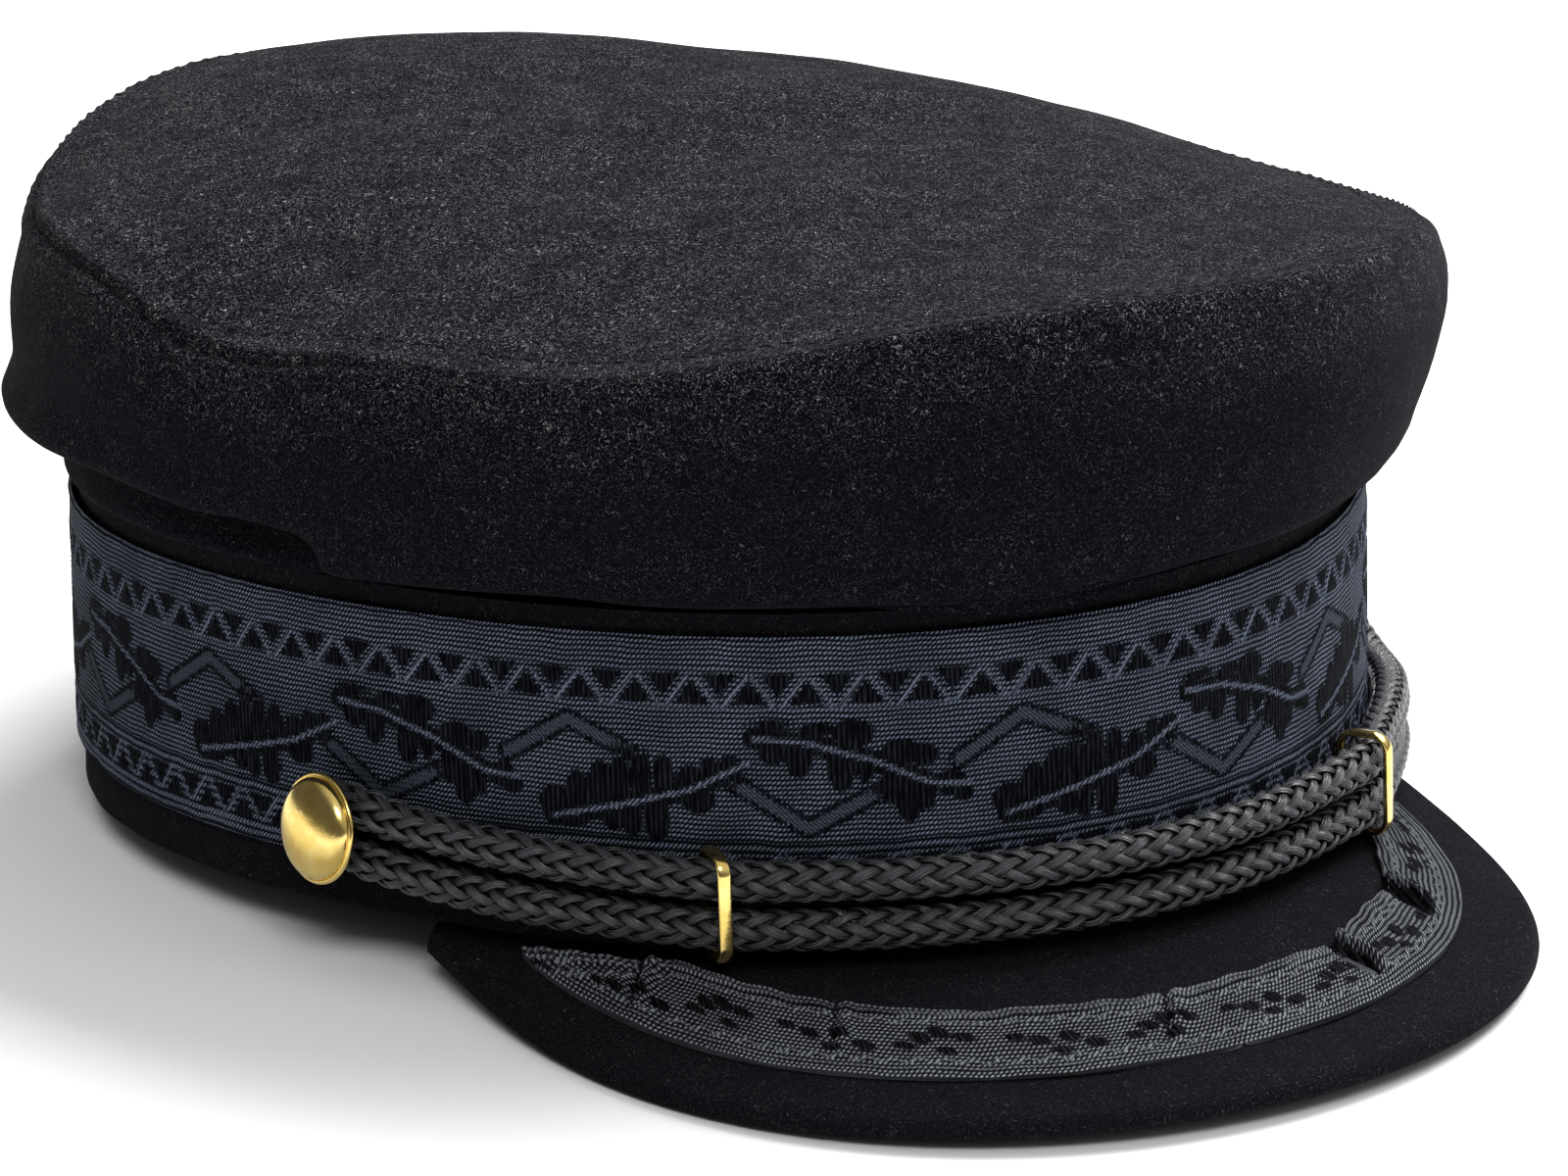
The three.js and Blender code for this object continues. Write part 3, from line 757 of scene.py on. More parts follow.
def signed_line(x, y, points, half):
    """Signed distance to a thick broken line, above zero inside."""
    nearest = np.full(np.broadcast(x, y).shape, FAR)
    for (ax, ay), (bx, by) in zip(points, points[1:]):
        dx, dy = bx - ax, by - ay
        t = np.clip(((x - ax) * dx + (y - ay) * dy) / (dx * dx + dy * dy), 0, 1)
        nearest = np.minimum(nearest, np.hypot(x - ax - t * dx, y - ay - t * dy))
    return half - nearest


def signed_lobes(x, y, rows):
    """Signed distance to a union of ellipses, above zero inside."""
    best = np.full(np.broadcast(x, y).shape, -FAR)
    for px, py, wide, high in rows:
        level = np.hypot((x - px) / wide, (y - py) / high)
        best = np.maximum(best, (1 - level) * min(wide, high))
    return best


def teeth(along, z, base, rise):
    """Signed distances of a border of triangles: the standing ones, the hanging ones and the
    zigzag line between them. A rise below zero turns the border upside down."""
    phase = (along - TOOTH_START) / TOOTH_PITCH
    x = (phase - np.round(phase)) * TOOTH_PITCH
    beside = (phase - np.floor(phase) - 0.5) * TOOTH_PITCH
    up = (z - base) * np.sign(rise)
    height = abs(rise)
    square = 1 - TOOTH_SLOPE * TOOTH_HALF / math.hypot(TOOTH_HALF, height)
    standing = np.minimum((TOOTH_HALF * (1 - up / height) - np.abs(x)) * square, up)
    hang = (TOOTH_HALF * (up - 1) / height - np.abs(beside)) * square
    hanging = np.minimum(hang, height + 0.9 - up)
    edge = TOOTH_HALF * (1 - (up - 0.45) / height) + 0.35
    zigzag = 0.28 - np.abs(np.abs(x) - edge) * 0.8
    zigzag = np.minimum(zigzag, np.minimum(up + 0.2, height + 0.6 - up))
    return np.maximum(standing, hanging), zigzag


def ribbon_pattern(along, z):
    """Signed distances of the dark floats, the light lines and the satin bands."""
    x = REPEAT_START + np.mod(along - REPEAT_START, REPEAT)
    dark, light, satin = (np.full(x.shape, -FAR) for _ in range(3))
    for shift in (0, REPEAT):
        dark = np.maximum(dark, signed_lobes(x + shift, z, LEAF_ROWS))
        for vein in VEINS:
            dark = np.maximum(dark, signed_line(x + shift, z, vein[:-1], LEAF_BODY))
            light = np.maximum(light, signed_line(x + shift, z, vein, VEIN_HALF))
        for line in CHEVRONS:
            satin = np.maximum(satin, signed_line(x + shift, z, line, BAND_HALF))
    satin = np.minimum(satin, -dark - 0.3)
    dark = np.maximum(dark, OUTLINE_HALF - np.abs(satin))
    dark = np.minimum(dark, -light - 0.12)
    for base, rise in ((TOP_TEETH, TOOTH_RISE), (LOW_TEETH, -TOOTH_RISE)):
        border, line = teeth(along, z, base, rise)
        dark, light = np.maximum(dark, border), np.maximum(light, line)
    for level in LINE_LEVELS:
        light = np.maximum(light, LINE_HALF - np.abs(z - level))
    return dark, light, satin


def woven(name, body, back, node, material, pattern, **shape):
    """A ribbon from a grid with the columns of its figured face and then those of its plain
    back. Pattern holds the face's signed distances and its places along and across."""
    values = {}
    for key, face in pattern.items():
        place = key in ("along", "across")
        face = face if place else np.clip(face, -DISTANCE_LIMIT, DISTANCE_LIMIT)
        plain = np.full((len(body), back), 0.0 if place else -1.0)
        values[key] = [np.concatenate([face, plain], 1)]
    build(name, [body], material, [node], "ribbon", **shape, **values)


def add_band_ribbon(material):
    angle = turn(RIBBON_STEPS)
    along = arc_length(around(angle, 0, 0))
    along -= np.interp(0, angle, along)
    top = BAND_HEIGHT - RIBBON_DROP
    z = np.linspace(top, RIBBON_RISE, RIBBON_LEVELS)
    along = np.broadcast_to(along[:, None], (RIBBON_STEPS, RIBBON_LEVELS))
    level = np.broadcast_to(z, along.shape)
    dark, light, satin = ribbon_pattern(along, level)
    relief = 0.17 * smooth(dark, -0.1, 0.35) + 0.14 * smooth(light, -0.15, 0.1)
    relief += 0.06 * smooth(satin, 0.1, 0.5)
    edge = np.minimum(top - level, level - RIBBON_RISE)
    relief += 0.16 * bell(edge - 0.55, 0.4) - 0.3 * bell(edge, 0.3)
    relief += lumpy(around(angle[:, None], 0, z), RIBBON_LUMPS)
    lap = 0.45 * smooth(np.abs(np.degrees(angle)), 176.5, 177.2)[:, None]
    lean = flare(angle, z)
    face = around(angle[:, None], relief + lap + lean - 0.1, z)
    back = around(angle[:, None], lean[:, ::-24] - RIBBON_WALL, z[::-24])
    body = np.concatenate([face, back], 1)
    pattern = {"dark": dark, "light": light, "satin": satin, "along": along, "across": level}
    woven("band_ribbon_woven", body, back.shape[1], "band_ribbon", material, pattern, sharp=70)


def add_peak(material):
    along = np.sin(np.linspace(-math.pi / 2, math.pi / 2, PEAK_STEPS + 1))
    along = (0.45 * along + 0.55 * np.linspace(-1, 1, PEAK_STEPS + 1))[:, None]
    square, _ = peak_reach(along)
    half = PEAK_WALL / 2
    inset = np.maximum(1 - half / square, 0.3)
    share = inset * np.linspace(0, 1, 34)
    top = peak_point(along, share)
    under = peak_point(along, share[:, ::-1], PEAK_WALL)
    bend = np.linspace(math.pi / 2, -math.pi / 2, 11)[1:-1]
    middle = peak_point(along, inset, half)
    out = peak_point(along, 1.0, half) - middle
    rim = middle + out * np.cos(bend)[:, None]
    rim[..., 2] += half * np.sin(bend)
    soft = np.zeros(top.shape)
    soft[..., 2] = lumpy(top, PEAK_LUMPS) * smooth(share, 0.3, 0.6)
    body = np.concatenate([top + soft, rim, under], 1)
    build("peak_cloth", [body], material, ["peak"], "wool", closed=False, ends=True)


def trim_darts(along, length, across, from_in):
    """How far darts draw the ribbon's inner edge in and swell it, and the painted shadow along their
    creases, drawn as dark floats.
    """
    drawn = SLACK * np.sin(length * 2 * math.pi / SLACK_PITCH)
    pucker = np.zeros(from_in.shape)
    crease_shade = np.full(from_in.shape, -FAR)
    for place, slant, wide, deep, pull in DART_ROWS:
        centre = np.interp(place, along[:, 0], length[:, 0])
        drawn += pull * np.maximum(1 - np.abs(length - centre) / DART_REACH, 0) ** 1.3
        shift = length - centre - slant * from_in
        fade = smooth(from_in, -0.6, 0.8) * (1 - smooth(across, 0.5, 0.85))
        hollow = 0.8 * bell(shift - wide * 0.4, wide * 0.6)
        pucker += deep * fade * (bell(shift + wide * 0.7, wide) - hollow)
        # painted shadow: a narrow dark slit along each dart's crease, drawn as dark floats
        slit_shade = np.minimum(0.45 * deep * fade - np.abs(shift - wide * 0.4), 0.5)
        crease_shade = np.maximum(crease_shade, slit_shade)
    return drawn, np.maximum(pucker, -TRIM_WALL * 0.8), crease_shade


def trim_pattern(length, across, real, crease_shade):
    """Signed distances of the peak ribbon's dark floats and light lines, with the darts' creases
    painted in as dark floats for their shadow.
    """
    from_in, from_out = across * real, (1 - across) * real
    x = np.mod(length, TRIM_REPEAT)
    dark = np.full(from_in.shape, -FAR)
    for shift in (-TRIM_REPEAT, 0, TRIM_REPEAT):
        for place, level, wide, high in TRIM_LEAF_ROWS:
            lobe = [(place + shift, 0, wide, high)]
            dark = np.maximum(dark, signed_lobes(x, (across - level) * real, lobe))
    saw = np.abs(np.mod(length / SAW_PITCH, 1) - 0.5) * 2
    light = 0.22 - np.abs(from_out - 1.9)
    for beside in (from_out - 3.0 - saw * 1.1, from_in - 2.6 - saw * 0.9):
        light = np.maximum(light, 0.25 - np.abs(beside) * 0.7)
    for level in EDGE_CORDS:
        light = np.maximum(light, 0.24 - np.abs(from_in - level))
    return np.maximum(np.minimum(dark, -light - 0.1), crease_shade), np.minimum(light, -crease_shade)


def add_peak_ribbon(material):
    rows, columns = TRIM_STEPS
    along = np.linspace(*TRIM_REACH, rows)[:, None]
    square, straight = peak_reach(along)
    outer = 1 - (TRIM_INSET - TRIM_SKEW * along) / square
    width = TRIM_WIDTH + TRIM_FLARE * along
    cover = (BAND_WALL + CLEARANCE + STRAND_RADIUS) / straight
    inner = np.maximum(outer - width / square, cover)
    across = np.linspace(0, 1, columns)
    real = (outer - inner) * square
    length = arc_length(peak_point(along, (inner + outer) / 2)[:, 0])[:, None]
    length -= np.interp(0, along[:, 0], length[:, 0])
    from_in, from_out = across * real, (1 - across) * real
    drawn, pucker, crease_shade = trim_darts(along, length, across, from_in)
    dark, light = trim_pattern(length, across, real, crease_shade)
    share = inner + (outer - inner) * (across + drawn * (1 - across) ** 2 / real)
    relief = sum(0.42 * bell(from_in - level, 0.34) for level in EDGE_CORDS)
    relief += 0.12 * bell(from_out - 0.3, 0.3) + 0.12 * smooth(dark, -0.1, 0.3)
    relief += 0.09 * smooth(light, -0.1, 0.1)
    face = peak_point(along, share)
    relief += lumpy(face, TRIM_LUMPS)
    face[..., 2] += CLEARANCE + TRIM_WALL * 0.62 + relief + pucker
    under = peak_point(along, share[:, ::-12], -CLEARANCE * 0.6)
    body = np.concatenate([face, under], 1)
    pattern = {"dark": dark, "light": light, "satin": np.full(dark.shape, -1.0),
               "along": np.broadcast_to(length, dark.shape), "across": from_out}
    woven("peak_ribbon_woven", body, under.shape[1], "peak_ribbon", material, pattern,
          closed=False, ends=True)


def cord_centre():
    """The closed middle line of the cord at even steps, and its radius there."""
    upper, lower = strand_line(1), strand_line(-1)
    left, right = loop_line(LEFT_END), loop_line(RIGHT_END)
    parts = [upper, left, (lower[0][::-1], lower[1][::-1]), (right[0][::-1], right[1][::-1])]
    points = np.concatenate([p for p, _ in parts])
    radius = np.concatenate([r for _, r in parts])
    closed = np.concatenate([points, points[:1]])
    arc = arc_length(closed)
    even = np.linspace(0, arc[-1], int(arc[-1] / CORD_STEP), endpoint=False)
    line = np.stack([np.interp(even, arc, closed[:, k]) for k in range(3)], -1)
    return line, np.interp(even, arc, np.append(radius, radius[0])), even, arc[-1]


def add_chin_cord(material):
    """A round braid of sixteen bundles over a core, each passing over two and under two."""
    line, radius, arc, length = cord_centre()
    along = unit(np.roll(line, -1, 0) - np.roll(line, 1, 0))
    out = unit(line * (1, 1, 0))
    side = unit(np.cross(along, out))
    out = np.cross(side, along)
    turns = round(length / LAY)
    spin = arc / length * turns * 2 * math.pi
    crossing = spin * CARRIERS / math.pi
    scale = radius / STRAND_RADIUS
    ring = circle(BUNDLE_SIDES)
    middle = STRAND_RADIUS - BRAID_WAVE - BUNDLE_THICK
    pitch = length / turns
    size = (len(arc), BUNDLE_SIDES)
    grids, across, lengthwise, over_under_shade = [], [], [], []
    for way in (1, -1):
        for k in range(CARRIERS):
            angle = way * spin + k * 2 * math.pi / CARRIERS
            wave = way * np.cos(math.pi / 2 * (2 * k + way * crossing - 0.5))
            distance = (middle + BRAID_WAVE * wave) * scale
            outward = out * np.cos(angle)[:, None] + side * np.sin(angle)[:, None]
            sideways = side * np.cos(angle)[:, None] - out * np.sin(angle)[:, None]
            lean = way * 2 * math.pi * distance / pitch
            wide = np.cross(outward, unit(along + sideways * lean[:, None]))
            centre = line + outward * distance[:, None]
            flat = wide[:, None] * (BUNDLE_WIDTH * np.cos(ring))[:, None]
            shape = flat + outward[:, None] * (BUNDLE_THICK * np.sin(ring))[:, None]
            grids.append(centre[:, None] + shape * scale[:, None, None])
            across.append(np.broadcast_to(np.cos(ring) + 3 * k, size))
            lengthwise.append(np.broadcast_to((arc + 37 * k + 11 * way)[:, None], size))
            # painted light and shade: highest on a bundle's outer side where it crosses over, lowest
            # where it dips under and on its underside; the braid material lightens and darkens by it
            over_under_shade.append(wave[:, None] + np.sin(ring))
    tube = out[:, None] * np.cos(ring)[:, None] + side[:, None] * np.sin(ring)[:, None]
    grids.append(line[:, None] + tube * (middle - BUNDLE_THICK / 2) * scale[:, None, None])
    across.append(np.zeros(size))
    lengthwise.append(np.zeros(size))
    # painted shade: the core always gets the lowest value, so it is drawn nearly black between the
    # bundles
    over_under_shade.append(np.full(size, -1.0))
    values = {"across": across, "along": lengthwise, "over_under_shade": over_under_shade}
    build("chin_cord_braided", grids, material, ["chin_cord"], "cord", sharp=80, **values)


def on_band(grid, angle, z, out, askew=0.0):
    """Places points made with +Z out of the cap at an angle and a height on the ribbon's face."""
    turned = Matrix.Rotation(askew - angle, 3, "Z") @ Matrix.Rotation(math.pi / 2, 3, "X")
    return grid @ np.array(turned).T + around(angle, out, z)


def add_slide(name, end, askew, material):
    """A flat wire bent to a closed frame round both strands, with softly worn edges. It may
    stand a little askew, in degrees, on the cord."""
    high = PAIR_HALF + STRAND_RADIUS + CLEARANCE + SLIDE_THICK / 2
    deep = STRAND_RADIUS + CLEARANCE + SLIDE_THICK / 2 + abs(askew) * ASKEW_DEPTH
    corner = SLIDE_BEND - SLIDE_THICK / 2
    quarter = np.repeat(np.arange(4), 8) * math.pi / 2
    bend = quarter + np.tile(np.linspace(0, math.pi / 2, 8), 4)
    facing = np.stack([np.cos(bend), np.sin(bend)], -1)[:, None]
    middle = quarter + math.pi / 4
    corners = np.sign([np.cos(middle), np.sin(middle)]).T * (deep - corner, high - corner)
    path = corners[:, None] + corner * facing
    wide, thick = np.cos(circle(20)), np.sin(circle(20))
    wide = np.sign(wide) * np.abs(wide) ** SLIDE_SQUARE[0] * SLIDE_WIDTH / 2
    thick = np.sign(thick) * np.abs(thick) ** SLIDE_SQUARE[1] * SLIDE_THICK / 2
    thick += SLIDE_BULGE * (1 - (wide / (SLIDE_WIDTH / 2)) ** 2) * np.sign(thick)
    spot = path + facing * thick[None, :, None]
    grid = np.stack([np.broadcast_to(wide, spot.shape[:2]), spot[..., 1], spot[..., 0]], -1)
    at = math.copysign(math.radians(SLIDE_ANGLE + askew * ASKEW_SHIFT), end)
    out, z = strap_middle(at)
    build(name + "_worn", [on_band(grid, at, z, out, math.radians(askew))], material, [name],
          "brass", sharp=60)


def button_outline():
    """Radius and height along a button's outline, from its shank's foot to the dome's top."""
    profile = [(0, 0), (SHANK_RADIUS, 0), (SHANK_RADIUS, SHANK_LENGTH - SHANK_FLARE[1])]
    profile.append((SHANK_RADIUS + SHANK_FLARE[0], SHANK_LENGTH))
    profile.append((DOME_RADIUS - BACK_INSET, SHANK_LENGTH))
    centre = (DOME_RADIUS - RIM_ROLL, SHANK_LENGTH + RIM_ROLL)
    for a in np.linspace(-1.5, 1.75, 12):
        profile.append((centre[0] + RIM_ROLL * math.cos(a), centre[1] + RIM_ROLL * math.sin(a)))
    profile.append((DOME_RADIUS - GROOVE[0], SHANK_LENGTH + GROOVE[1]))
    for a in np.linspace(0.1, math.pi / 2, 26):
        height = DOME_RIM + (DOME_HEIGHT - DOME_RIM) * math.sin(a) ** DOME_FULL[1]
        across = (DOME_RADIUS - DOME_INSET) * math.cos(a) ** DOME_FULL[0]
        profile.append((across, SHANK_LENGTH + height))
    profile.append((0, SHANK_LENGTH + DOME_HEIGHT))
    return np.array(profile)


def add_button(name, end, material):
    """A domed button with a rolled rim on its shank."""
    r, z = button_outline().T
    turned = circle(96)[:, None]
    grid = np.stack(np.broadcast_arrays(r * np.cos(turned), r * np.sin(turned), z), -1)
    tilt = math.copysign(math.radians(BUTTON_TILT), end)
    out, level = strap_middle(end)
    aside = math.tan(tilt) * (out - SHANK_FOOT) / oval_radius(end)
    aside += math.copysign(math.radians(BUTTON_SHIFT), end)
    lift = math.radians(BUTTON_LIFT)
    lifted = grid @ np.array(Matrix.Rotation(lift, 3, "X"))
    foot = level - math.sin(lift) * SHANK_LENGTH
    placed = on_band(lifted, end - aside, foot, SHANK_FOOT, -tilt)
    build(name + "_polished", [placed], material, [name], "brass", sharp=45)


# Materials


def srgb(*values):
    """A colour given as it looks on screen, from 0 to 255."""
    return [((v / 255 + 0.055) / 1.055) ** 2.4 if v > 10 else v / 255 / 12.92 for v in values] + [1]


class Paint:
    """A material or world under construction. Method node() adds a node, links the inputs given
    as other nodes' outputs, sets those given as values and returns one output."""

    def __init__(self, name, kind="materials", surface="Principled BSDF"):
        self.made = getattr(bpy.data, kind).new(name)
        self.made.use_nodes = True
        self.tree = self.made.node_tree
        self.surface = self.tree.nodes[surface]

    def node(self, kind, *inputs, output=0, named=None, **settings):
        made = self.tree.nodes.new("ShaderNode" + kind)
        for key, value in settings.items():
            setattr(made, key, value)
        for socket, value in list(enumerate(inputs)) + list((named or {}).items()):
            self.put(made, socket, value)
        return made.outputs[output]

    def put(self, node, socket, value):
        if isinstance(value, bpy.types.NodeSocket):
            self.tree.links.new(value, node.inputs[socket])
        elif value is not None:
            node.inputs[socket].default_value = value

    def math(self, operation, *inputs):
        return self.node("Math", *inputs, operation=operation)

    def times(self, *inputs):
        return self.math("MULTIPLY", *inputs)

    def scaled(self, *inputs):
        """The first input times the second, plus the third."""
        return self.math("MULTIPLY_ADD", *inputs)

    def wave(self, place, length, shift=0.0):
        """Soft waves of a length, from 0 to 1."""
        phase = self.scaled(place, 2 * math.pi / length, shift)
        return self.scaled(self.math("SINE", phase), 0.5, 0.5)

    def value(self, name):
        return self.node("Attribute", attribute_name=name, output="Fac")

    def range(self, value, *limits):
        """A smooth step from one limit to the next, from 0 to 1 or between two more numbers."""
        return self.node("MapRange", value, *limits, interpolation_type="SMOOTHSTEP")

    def mix(self, share, a, b):
        named = {"Factor": share, 6: a, 7: b}
        return self.node("Mix", data_type="RGBA", output=2, named=named)

    def noise(self, place, scale, detail=2.0, rough=0.5):
        named = {"Vector": place, "Scale": scale, "Detail": detail, "Roughness": rough}
        return self.node("TexNoise", named=named)

    def fibres(self, place, scale):
        """Thin curling ridges, as of loose fibres, from about 0.5 between them to 2 on them."""
        named = {"Vector": place, "Scale": scale, "Detail": 1.5, "Roughness": 0.55}
        named |= {"Offset": 1.0, "Gain": 1.5}
        kind = "RIDGED_MULTIFRACTAL"
        return self.node("TexNoise", noise_type=kind, normalize=False, named=named)

    def combine(self, x, y, z=0.0):
        return self.node("CombineXYZ", x, y, z)

    def bump(self, height, depth, under=None):
        """A bump whose height of 1 stands so many millimetres above 0."""
        return self.node("Bump", named={"Height": height, "Distance": depth * MM, "Normal": under})

    def place(self):
        """Places on the piece in millimetres."""
        spot = self.node("TexCoord", output="Object")
        return self.node("VectorMath", spot, (1 / MM,) * 3, operation="MULTIPLY")

    def finish(self, **sockets):
        for name, value in sockets.items():
            self.put(self.surface, name.replace("_", " "), value)
        return self.made


def wool(name, dark, light, flecks, shaded_by=None):
    """Milled wool cloth: dense fibres that lie every way, with pale hairs and soft mottling. The last
    argument may name a stored value; where that value is low, fewer pale hairs are drawn, as painted
    shade.
    """
    paint = Paint(name)
    place = paint.place()
    warp = paint.node("TexNoise", named={"Vector": place, "Scale": 0.7, "Detail": 1.0}, output="Color")
    bent = paint.node("VectorMath", warp, (CURL,) * 3, place, operation="MULTIPLY_ADD")
    hairs = paint.range(paint.fibres(bent, HAIR_SCALE), *HAIR_RANGE)
    fine = paint.noise(place, GRAIN_SCALE, 3.0, 0.7)
    mottle = paint.noise(place, MOTTLE_SCALE, 3.0, 0.6)
    fuzz = paint.times(hairs, paint.range(fine, 0.3, 0.65))
    share = paint.times(fuzz, paint.range(mottle, 0.3, 0.7, 0.6, 1.3))
    share = paint.times(share, flecks)
    # painted shade: fewer pale hairs down the crown's side below the seam, so the side reads darker
    # than the tip
    if shaded_by:
        share = paint.times(share, paint.range(paint.value(shaded_by), *SIDE_SHADE))
    normal = paint.bump(paint.scaled(fine, 0.5, hairs), 0.2, paint.bump(mottle, 0.3))
    return paint.finish(
        Base_Color=paint.mix(share, dark, light), Roughness=paint.range(fuzz, 0, 1, 0.95, 0.8),
        Normal=normal, Sheen_Weight=0.06, Sheen_Roughness=0.4, Sheen_Tint=srgb(150, 149, 154),
        Specular_IOR_Level=0.05, IOR=1.2)


def ribbon(name, ground, pale, deep, pitch, stitch):
    """Figured ribbon: rows of slanting ground threads, dark upright floats, light lines and
    satin bands. Pitch is the distance between rows and stitch the one between threads."""
    paint = Paint(name)
    names = ("along", "across", "dark", "light", "satin")
    along, across, dark, light, satin = (paint.value(key) for key in names)
    spot = paint.combine(along, across)
    shake = paint.scaled(paint.noise(spot, 1.4, 2.0, 0.6), 3.4, -1.7)
    drift = paint.scaled(paint.noise(spot, 0.16, 2.0, 0.5), 0.9, -0.45)
    across = paint.math("ADD", across, drift)

    # Ground: rows of dashes, wider towards the ribbon's lower edge
    wide = paint.math("LESS_THAN", across, WIDE_ROWS_BELOW)
    fine_rows, wide_rows = paint.wave(across, pitch), paint.wave(across, pitch * WIDE_ROWS)
    rows = paint.scaled(paint.math("SUBTRACT", wide_rows, fine_rows), wide, fine_rows)
    slant = paint.scaled(across, SLANT, along)
    weave = paint.math("POWER", paint.times(rows, paint.wave(slant, stitch, shake)), 1.3)
    wear = paint.range(paint.noise(spot, 0.09, 3.0, 0.6), 0.3, 0.7, 0.75, 1.25)
    ground_colour = paint.mix(paint.times(weave, wear), ground, pale)

    # Floats: upright threads with a frayed edge; on the peak ribbon they also carry the darts'
    # creases, painted as shadow
    comb = paint.wave(along, FLOAT_PITCH)
    floats = paint.range(paint.scaled(shake, 0.16, paint.scaled(comb, 0.3, dark)), 0.05, 0.28)
    thread_spot = paint.combine(paint.times(along, 3.0), paint.times(across, 0.3))
    strands = paint.range(paint.noise(thread_spot, 1.0, 2.0, 0.7), 0.35, 0.7)
    upright = paint.times(strands, comb)
    float_colour = paint.mix(paint.times(upright, 0.07), deep, pale)

    # Light lines and satin bands
    lines = paint.range(light, -0.06, 0.14)
    twist = paint.wave(slant, stitch * 1.15, shake)
    line_colour = paint.mix(paint.scaled(twist, 0.7, 0.02), ground, pale)
    sheen = paint.wave(paint.math("SUBTRACT", across, along), SATIN_PITCH, shake)
    band_colour = paint.mix(paint.scaled(sheen, 0.22, 0.04), ground, pale)
    colour = paint.mix(paint.range(satin, 0.1, 0.4), ground_colour, band_colour)
    colour = paint.mix(floats, paint.mix(lines, colour, line_colour), float_colour)

    height = paint.math("MAXIMUM", weave, paint.times(lines, twist))
    height = paint.times(height, paint.math("SUBTRACT", 1.0, floats))
    height = paint.math("ADD", height, paint.times(floats, paint.times(upright, 0.5)))
    rough = paint.scaled(floats, 0.1, paint.range(weave, 0, 1, 0.85, 0.45))
    return paint.finish(Base_Color=colour, Roughness=rough, Normal=paint.bump(height, 0.26),
                        Specular_IOR_Level=0.1, IOR=1.2)


def braid():
    """Smooth dark filaments that run along each bundle of the braid, with painted light and shade:
    lighter on a bundle's top where it crosses over, darker where it dips under and on its underside,
    and nearly black on the core.
    """
    paint = Paint("braid")
    across, along = paint.value("across"), paint.value("along")
    spot = paint.combine(paint.times(along, 0.3), paint.times(across, 2.4))
    streaks = paint.noise(spot, 1.0, 3.0, 0.65)
    filaments = paint.wave(across, FILAMENT_PITCH, paint.times(streaks, 9.0))
    share = paint.times(filaments, paint.range(streaks, 0.3, 0.7, 0.35, 1.0))
    # painted light and shade: lighter where a bundle crosses over, darker where it dips under and on
    # its underside, nearly black on the core
    share = paint.times(share, paint.range(paint.value("over_under_shade"), 0.4, 1.9, 0.02, 1.8))
    return paint.finish(Base_Color=paint.mix(share, srgb(2, 2, 3), srgb(66, 67, 73)),
                        Roughness=paint.range(streaks, 0.3, 0.7, 0.42, 0.28),
                        Normal=paint.bump(filaments, 0.11), Specular_IOR_Level=0.6)


def brass():
    """Polished lacquered brass with faint haze and fine wear."""
    paint = Paint("brass")
    place = paint.place()
    haze = paint.noise(place, 0.35, 3.0, 0.6)
    specks = paint.noise(place, 4.0, 3.0, 0.7)
    colour = paint.mix(paint.range(haze, 0.35, 0.7), srgb(220, 188, 104), srgb(232, 206, 130))
    return paint.finish(Base_Color=colour, Normal=paint.bump(haze, 0.05), Metallic=1.0,
                        Roughness=paint.scaled(paint.range(specks, 0.45, 0.75), 0.08, 0.17))


# Build


crown_wool = wool("crown_wool", srgb(10, 9, 15), srgb(204, 203, 205), 1.35, "past_seam")
band_wool = wool("band_wool", srgb(15, 15, 19), srgb(104, 103, 105), 0.9)
thread = wool("thread", srgb(34, 34, 37), srgb(80, 80, 82), 0.8)
band_weave = ribbon("band_weave", srgb(5, 6, 9), srgb(128, 138, 160), srgb(3, 3, 5), 0.7, 0.62)
trim_weave = ribbon("trim_weave", srgb(7, 7, 9), srgb(146, 150, 158), srgb(2, 2, 4), 0.55, 0.7)
cord_braid = braid()
polished = brass()

add_stitches(*add_crown(crown_wool), thread)
add_headband(band_wool)
add_band_ribbon(band_weave)
add_peak(band_wool)
add_peak_ribbon(trim_weave)
add_chin_cord(cord_braid)
for side, end, askew in (("right", RIGHT_END, 20), ("left", LEFT_END, 0)):
    add_slide("slide_" + side, end, askew, polished)
    add_button("button_" + side, end, polished)


# Stage, light and camera


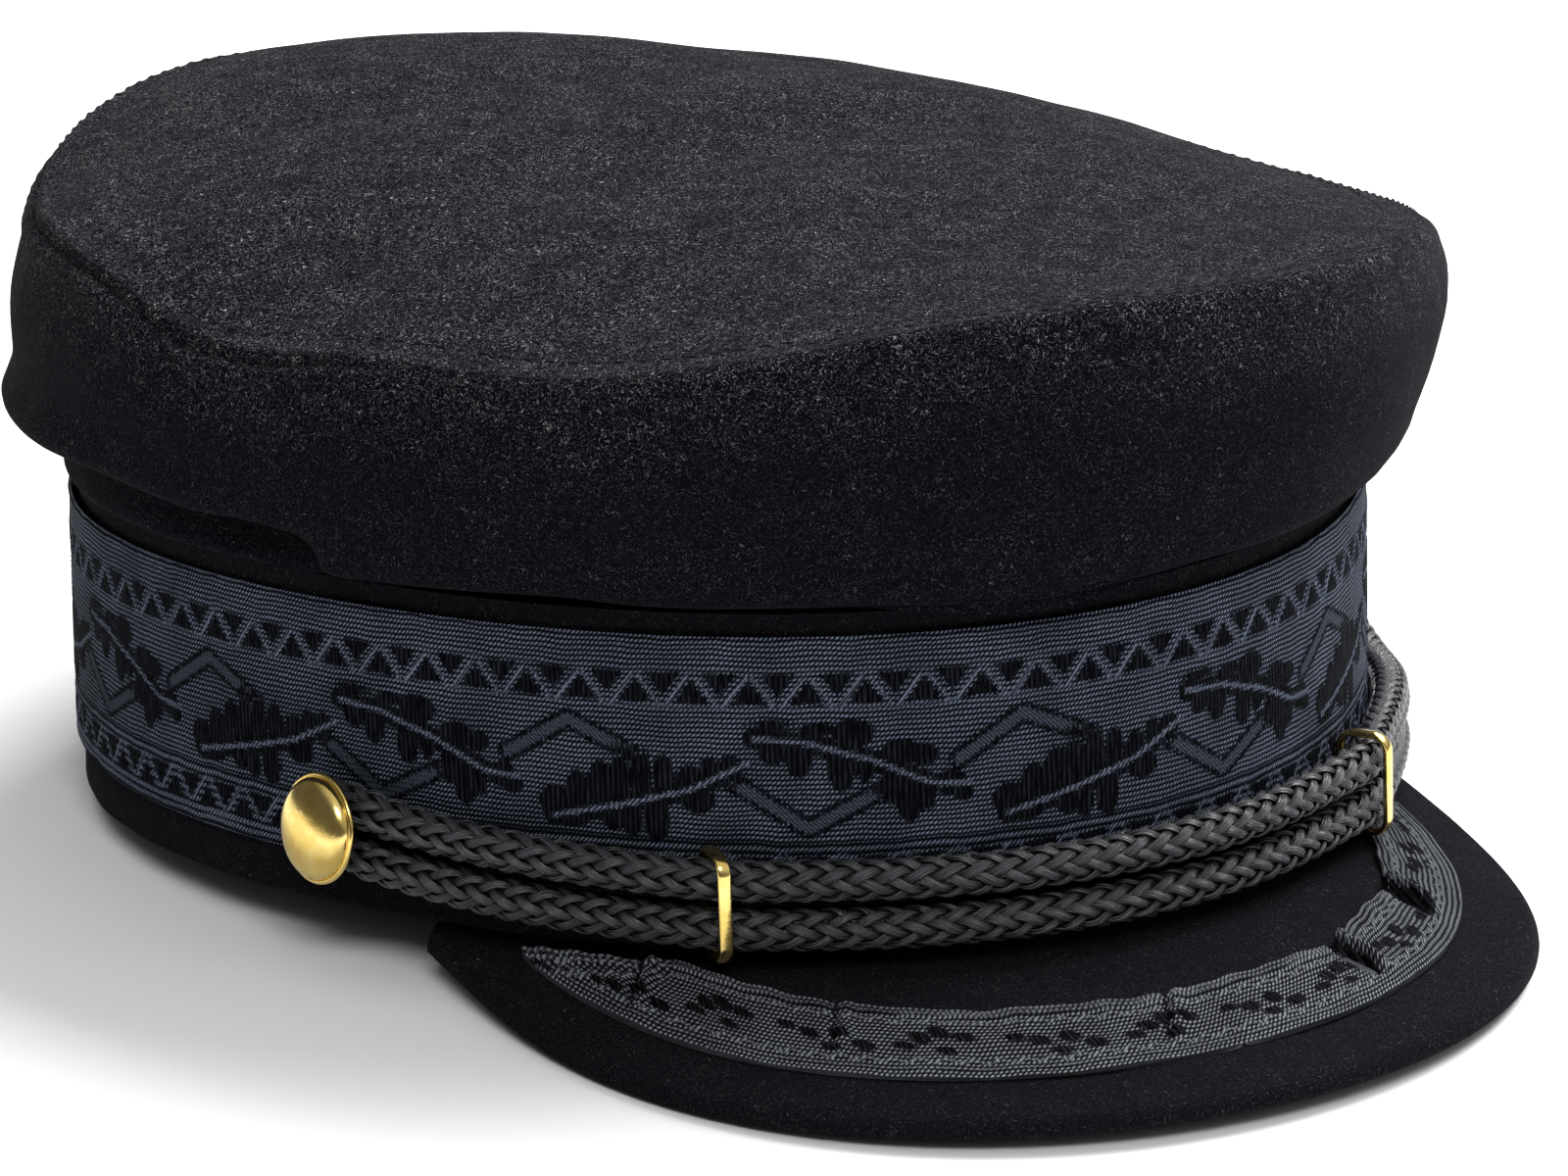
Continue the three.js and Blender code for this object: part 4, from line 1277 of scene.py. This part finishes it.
def add_floor():
    mesh = bpy.data.meshes.new("floor")
    signs = ((-1, -1), (1, -1), (1, 1), (-1, 1))
    corners = [(x * FLOOR_HALF, y * FLOOR_HALF, 0) for x, y in signs]
    mesh.from_pydata(corners, [], [(0, 1, 2, 3)])
    mesh.materials.append(Paint("floor").finish(Base_Color=(0.92, 0.92, 0.92, 1), Roughness=0.9))
    add_object("floor", mesh)


def add_light(name, spot, size, power):
    data = bpy.data.lights.new(name, "AREA")
    data.shape = "RECTANGLE"
    data.size, data.size_y = size
    data.energy = power
    light = add_object(name, data)
    light.location = spot
    light.rotation_euler = (Vector(LIGHT_AIM) - Vector(spot)).to_track_quat("-Z", "Y").to_euler()


def add_camera():
    """The photograph's viewpoint."""
    azimuth, elevation = math.radians(VIEW_AZIMUTH), math.radians(VIEW_ELEVATION)
    level = math.cos(elevation)
    back = Vector((math.sin(azimuth) * level, -math.cos(azimuth) * level, math.sin(elevation)))
    right = (-back).cross(Vector((0, 0, 1))).normalized()
    turned = Matrix((right, right.cross(-back), back)).transposed()
    for axis, degrees in (("Y", VIEW_PAN), ("X", VIEW_TILT), ("Z", -VIEW_ROLL)):
        turned = turned @ Matrix.Rotation(math.radians(degrees), 3, axis)
    data = bpy.data.cameras.new("camera")
    data.sensor_width = SENSOR
    data.lens = LENS
    data.clip_start, data.clip_end = 0.05, 20
    camera = add_object("camera", data)
    spot = Vector((0, 0, VIEW_HEIGHT)) + back * VIEW_DISTANCE
    place = Matrix.Translation(Vector(to_part(np.array(spot))))
    camera.matrix_world = place @ (Matrix(ROTATION.tolist()) @ turned).to_4x4()
    bpy.context.scene.camera = camera


def add_world():
    """Soft light, strongest from above on the wearer's left and weak along the horizon."""
    paint = Paint("studio", "worlds", "Background")
    sky = paint.node("TexCoord", output="Generated")
    toward = paint.node("VectorMath", sky, SKY_TOWARD, operation="DOT_PRODUCT", output="Value")
    bpy.context.scene.world = paint.finish(Color=paint.node("MapRange", toward, *SKY_RANGE))


bpy.context.scene.view_settings.view_transform = "Standard"
add_floor()
add_world()
for row in LIGHTS:
    add_light(*row)
add_camera()
